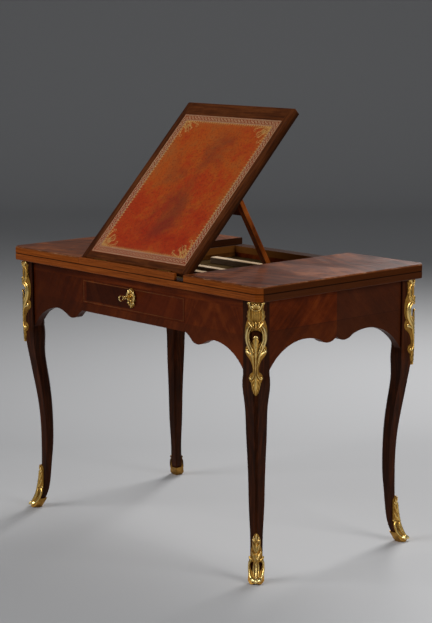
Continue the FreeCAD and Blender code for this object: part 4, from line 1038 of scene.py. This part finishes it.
# %% Colour the leather
SKIN = [(0.28, (0.4, 0.026, 0.004)), (0.52, (0.46, 0.047, 0.006)),
        (0.74, (0.48, 0.086, 0.008)), (0.98, (0.42, 0.102, 0.017))]
STAIN = (0.165, 0.02, 0.012)
FLECK = (0.15, 0.017, 0.006)
BAND = (0.19, 0.06, 0.03)
SCUFF = (0.4, 0.15, 0.055)
leather_finish, shader = new_material("leather_finish")
flat_map = place("UVMap", tree=shader.id_data, uv_map="flat").outputs[0]
side = place("SeparateXYZ", {0: flat_map}).outputs
in_x = calc("SUBTRACT", HALF_ACROSS, calc("ABSOLUTE", side["X"]))
in_y = calc("SUBTRACT", HALF_ALONG, calc("ABSOLUTE", side["Y"]))
from_edge = calc("MINIMUM", in_x, in_y)
cloud = noise(stretch(flat_map, (9, 9, 9)), detail=5, roughness=0.6, distortion=0.6)
mottle = noise(stretch(flat_map, (60, 60, 60)), detail=4)
stain = noise(stretch(flat_map, (9, 6, 1)), detail=5, roughness=0.6, distortion=0.5)
flecks = noise(stretch(flat_map, (190, 150, 1)), detail=5, roughness=0.7)
scuffed = noise(stretch(flat_map, (330, 330, 330)), detail=3)

height_tone = spread(side["Y"], -0.24, 0.2, -0.08, 0.24)
tone = calc("MULTIPLY", spread(cloud, 0.25, 0.75), 0.5)
tone = calc("ADD", calc("MULTIPLY_ADD", mottle, 0.62, tone), height_tone)
colour = ramp(tone, SKIN)
middle = calc("MULTIPLY", spread(in_x, 0.04, 0.13), spread(in_y, 0.02, 0.1))
slant = calc("MULTIPLY_ADD", side["Y"], -0.16, calc("SUBTRACT", side["X"], 0.012))
ridge = spread(calc("ABSOLUTE", slant), 0.1, 0, 0, 0.15)
stained = calc("MULTIPLY", spread(calc("ADD", stain, ridge), 0.48, 0.76), middle)
colour = wash(stained, 0.66, colour, STAIN)
colour = tint(spread(flecks, 0.48, 0.66, 0, 0.55), colour, FLECK)
banded = spread(from_edge, 0.0225, 0.0195)
colour = wash(banded, spread(scuffed, 0.35, 0.65, 0.35, 0.7), colour, BAND)
near_edge = spread(from_edge, 0.05, 0.02)
colour = wash(near_edge, spread(scuffed, 0.52, 0.62, 0, 0.35), colour, SCUFF)
pebble = place("TexVoronoi", {"Vector": flat_map, "Scale": 620}).outputs["Distance"]
feed(shader, {
    "Base Color": colour,
    "Roughness": spread(cloud, 0.2, 0.8, 0.36, 0.52),
    "Specular IOR Level": 0.16,
    "Specular Tint": (1, 0.75, 0.55),
    "Normal": bumped(pebble, 0.3, 0.0003),
})

leather_face = make_piece("leather_face", leather_points, leather_faces, "slope", leather_finish)
all_flat = np.concatenate([flat, flat[border]])
corner_index = np.empty(len(leather_face.data.loops), dtype=np.int32)
leather_face.data.loops.foreach_get("vertex_index", corner_index)
leather_face.data.uv_layers.new(name="flat").data.foreach_set("uv", all_flat[corner_index].ravel())
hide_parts("slope_leather")

# %% [markdown]
# ## Marks for gold tooling
# A heated wheel rolls lines and leaves of gold along the edge of the leather, and hand tools set a fleuron
# in each corner. The gold is only leaf, so each mark is a very low blade. One leaf is drawn once and
# repeated by arrays of places and turns.

# %% Gold leaf and its marks
GOLD = 0.00004


def leaf_gold(name, dull, middle, bright):
    """Gold leaf that is rubbed thin in places, in three tones."""
    material, shader = new_material(name)
    rubbing = noise(stretch(own_coords(shader), (420, 420, 420)), detail=3)
    feed(shader, {
        "Base Color": ramp(rubbing, [(0.32, dull), (0.5, middle), (0.75, bright)]),
        "Metallic": spread(rubbing, 0.4, 0.6, 0.1, 0.45),
        "Roughness": 0.42,
    })
    return material


def mitred_frame(reach, section):
    """Closed frame: the same section at four corners, each point at corner sign x (reach + its offset)."""
    signs = np.array([[-1, -1], [1, -1], [1, 1], [-1, 1]], float)
    plane = signs[:, None, :] * (reach + section[None, :, :1])
    points = np.concatenate([plane, np.broadcast_to(section[None, :, 1:], (4, 4, 1))], axis=-1)
    index = np.arange(16).reshape(4, 4)
    ahead = np.roll(index, -1, axis=0)
    faces = np.stack([index, ahead, np.roll(ahead, -1, axis=1), np.roll(index, -1, axis=1)], axis=-1)
    return points.reshape(-1, 3), faces.reshape(-1, 4).tolist()


def ruled_line(inset, width):
    """Frame line at an inset from the leather's edge, with a low four-point section."""
    section = np.array([[-0.5, 0], [-0.2, 1], [0.2, 1], [0.5, 0]]) * np.array([width, GOLD])
    return mitred_frame(np.array([HALF_ACROSS - inset, HALF_ALONG - inset]), section)


def scattered(form, places, turns):
    """Copies of one flat form, turned and moved to many places at once."""
    points, faces = form
    c, s = np.cos(turns)[:, None], np.sin(turns)[:, None]
    x = places[:, :1] + points[None, :, 0] * c - points[None, :, 1] * s
    y = places[:, 1:] + points[None, :, 0] * s + points[None, :, 1] * c
    z = np.broadcast_to(points[None, :, 2], x.shape)
    moved = np.stack([x, y, z], axis=-1).reshape(-1, 3)
    base = np.arange(len(places)) * len(points)
    return moved, [[i + int(shift) for i in face] for shift in base for face in faces]


def leaf_mark(length, half):
    """A small low leaf that starts at the origin and points along the first axis; sizes in millimetres."""
    path = line((0, 0), (length * MM, 0), 7)
    return blade(path, swell(7, half * MM * 0.08, half * MM, 0.8), GOLD, 0, 6, rib=0.1)


pale_gold = leaf_gold("pale_gold", (0.42, 0.21, 0.1), (0.72, 0.48, 0.27), (0.9, 0.7, 0.46))
gold_leaf = leaf_gold("gold_leaf", (0.46, 0.2, 0.05), (0.8, 0.46, 0.12), (0.95, 0.66, 0.24))
print("gold:", pale_gold.name, gold_leaf.name)

# %% [markdown]
# ## The rolled border
# Four ruled lines hold a band of crossed leaves, as a wheel leaves them, and a lace of small sprays points
# inwards from the innermost line. Every side takes as many repeats as fit.

# %% Roll the border
ROLL_PITCH, LACE_INSET, LACE_PITCH = 6.4, 20.6, 8.6
NEAR_EDGE = 0.022


def roll_places(inset, pitch, out_turn):
    """Places and turns of a rolled pattern along the four sides, each turn opposite to the one before."""
    spots, turns = [], []
    for half, other, base in ((HALF_ACROSS, HALF_ALONG, 0), (HALF_ALONG, HALF_ACROSS, math.pi / 2)):
        count = int(2 * (half - inset) / pitch)
        run = (np.arange(count) - (count - 1) / 2) * pitch
        for sign in (-1, 1):
            edge = np.full(count, sign * (other - inset))
            spots.append(np.stack([run, edge] if base == 0 else [edge, run], axis=-1))
            turns.append(np.full(count, base) + out_turn * np.where(np.arange(count) % 2, 1, -1))
    return np.concatenate(spots), np.concatenate(turns)


border_marks = [ruled_line(inset * MM, width * MM)
                for inset, width in ((2.4, 1.2), (4.6, 0.7), (17.4, 0.7), (19.6, 1.2))]
for inset, out_turn, length, half in (
        (11, 0.85, 5.6, 0.95), (11, 2.3, 5.6, 0.95), (7.4, 1.57, 2.2, 0.9), (14.6, 1.57, 2.2, 0.9)):
    spots = roll_places(inset * MM, ROLL_PITCH * MM, out_turn)
    border_marks.append(scattered(leaf_mark(length, half), *spots))
places, _ = roll_places(LACE_INSET * MM, LACE_PITCH * MM, 0)
on_short_side = np.abs(places[:, 1]) > HALF_ALONG - NEAR_EDGE
inward = np.arctan2(-places[:, 1] * on_short_side, -places[:, 0] * ~on_short_side)
lace_marks = [scattered(leaf_mark(length, 0.75), places, inward + fanned)
              for fanned, length in ((0, 7.5), (0.8, 4.4), (-0.8, 4.4))]
print("border:", len(places), "sprays of lace")

# %% [markdown]
# ## The corner fleurons
# Each corner holds a tall middle leaf and curling stems with small leaves on both sides. Half of it is
# drawn, reflected about the diagonal, and then reflected into all four corners.

# %% Set the corners
STEMS = (([(25, 24), (36, 27), (46, 33)], 4.4),
         ([(28, 23.5), (54, 25.5), (74, 32)], 5.2),
         ([(34, 34), (46, 37), (58, 44)], 4.2))
STEM_RADIUS = 0.45 * MM
LEAF_STEPS = slice(4, 30, 4)
TOOLING_DEPTH = 0.00008

tall_leaf = line((24, 24), (60, 60), 16) * MM
corner_marks = [blade(tall_leaf, swell(16, 0.1, 1.6, 0.8) * MM, GOLD, 2, 8, rib=0.1)]
for stem_points, size in STEMS:
    stem = curled(drawn(stem_points, 30), size, 0.85, 1, 18)
    corner_marks.append(bar(stem * MM, STEM_RADIUS, 0, 6, flatten=GOLD / STEM_RADIUS))
    leaf_turn = np.arctan2(*np.gradient(stem, axis=0)[LEAF_STEPS].T[::-1])
    for sign in (-1, 1):
        corner_marks.append(scattered(leaf_mark(4.6, 0.62), stem[LEAF_STEPS] * MM, leaf_turn + sign * 0.9))
points, faces = join(corner_marks)
swapped = points[:, [1, 0, 2]], [face[::-1] for face in faces]
quarter, quarter_faces = join([(points, faces), swapped])
for sign_x in (-1, 1):
    for sign_y in (-1, 1):
        offset = np.array([sign_x * HALF_ACROSS, sign_y * HALF_ALONG, 0])
        lace_marks.append((offset - quarter * np.array([sign_x, sign_y, -1]), quarter_faces))
tooling = {"border_tooling": (border_marks, pale_gold), "corner_tooling": (lace_marks, gold_leaf)}
for name, (marks, finish) in tooling.items():
    points, faces = join(marks)
    laid = on_slope(points[:, 0], points[:, 1], points[:, 2] - TOOLING_DEPTH)
    make_piece(name, laid, faces, "slope", finish)

# %% [markdown]
# ## Stringing round the drawer
# A thin line of pale wood is let in round the drawer front. It is a frame with mitred corners, so four
# sections, one at each corner, are enough, and it stands barely proud of the veneer.

# %% The string line
STRING = [(0.2, (0.08, 0.026, 0.007)), (0.5, (0.14, 0.05, 0.013)), (0.8, (0.2, 0.08, 0.024))]
STRING_INSET, STRING_WIDTH = 0.004, 1.3
string_wood = wood("string_wood", "X", "Z", STRING, streak=200)
front_low, front_high = (np.array(corner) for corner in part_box("drawer_front"))
middle = (front_low + front_high) / 2
profile = np.array([[-0.5, -0.1], [-0.35, 0.12], [0.35, 0.12], [0.5, -0.1]])
section = profile * np.array([STRING_WIDTH, 1]) * MM
points, faces = mitred_frame((front_high - front_low)[[0, 2]] / 2 - STRING_INSET, section)
laid = np.stack([middle[0] + points[:, 0], front_low[1] - points[:, 2], middle[2] + points[:, 1]], axis=-1)
make_piece("drawer_stringing", laid, faces, "drawer", string_wood)

# %% [markdown]
# ## Floor and backdrop
# The table stands on a pale floor that sweeps up into a grey backdrop. It is one profile, flat and then a
# quarter round, carried sideways, and its colour darkens with the distance ahead of the camera as painted
# shade.

# %% The studio sweep
WALL_AHEAD, WALL_HEIGHT, SWEEP_RADIUS, STUDIO_REACH = 9, 9, 2, 40
HEIGHT_SHARE = 0.35
# the paper's greys carry painted shade, darker away from the camera
PAPER_WITH_SHADE = [(0, (0.52, 0.52, 0.525)), (0.45, (0.37, 0.37, 0.375)), (1, (0.37, 0.37, 0.375))]
paper, shader = new_material("studio_paper")
ahead_dir = (-math.sin(YAW), math.cos(YAW))
right_dir = (math.cos(YAW), math.sin(YAW))
ahead_and_up = {0: own_coords(shader), 1: (*ahead_dir, HEIGHT_SHARE)}
level = place("VectorMath", ahead_and_up, operation="DOT_PRODUCT").outputs["Value"]
feed(shader, {"Base Color": ramp(spread(level, -1.2, 3.2), PAPER_WITH_SHADE), "Roughness": 0.9})
turn_angle = np.linspace(0, math.pi / 2, 24)
curve_run = WALL_AHEAD - SWEEP_RADIUS + SWEEP_RADIUS * np.sin(turn_angle)
run = np.concatenate([[-STUDIO_REACH, -6, 0, 5], curve_run, [WALL_AHEAD]])[:, None]
rise = np.concatenate([np.zeros(4), SWEEP_RADIUS * (1 - np.cos(turn_angle)), [WALL_HEIGHT]])[:, None]
sideways = np.array([[-STUDIO_REACH, STUDIO_REACH]])
sweep = np.stack([
    ahead_dir[0] * run + right_dir[0] * sideways,
    ahead_dir[1] * run + right_dir[1] * sideways,
    np.broadcast_to(rise, (len(run), 2)),
], axis=-1)
index = np.arange(len(run) * 2).reshape(-1, 2)
floor = put("studio_sweep", new_mesh("studio_sweep", sweep.reshape(-1, 3), grid_faces(index), paper))
print("sweep:", len(run), "rows")

# %% [markdown]
# ## Light
# The main light is behind and above, so it rakes over the top and throws the legs' shadows towards the
# viewer. Two broad soft lights open up the front and the right end, and a faint even sky fills the rest.

# %% Lights and view
LIGHTS = {
    "back_light": ((-0.9, 2.6, 2.6), (0, 0, 0.5), 1.6, 110),
    "front_light": ((-1.6, -3.4, 2.6), (0, 0, 0.6), 2.2, 80),
    "end_light": ((3.6, 0.6, 2), (0.3, 0, 0.6), 1.6, 55),
}
for name, (location, target, size, power) in LIGHTS.items():
    panel = bpy.data.lights.new(name, "AREA")
    panel.size = size
    panel.energy = power
    light = put(name, panel)
    light.location = location
    light.rotation_euler = (Vector(target) - Vector(location)).to_track_quat("-Z", "Y").to_euler()
world = bpy.data.worlds.new("studio_world")
world.use_nodes = True
feed(world.node_tree.nodes["Background"], {"Color": (0.75, 0.77, 0.8), "Strength": 0.22})
bpy.context.scene.world = world
bpy.context.scene.view_settings.view_transform = "Standard"
print("lights:", len(LIGHTS))
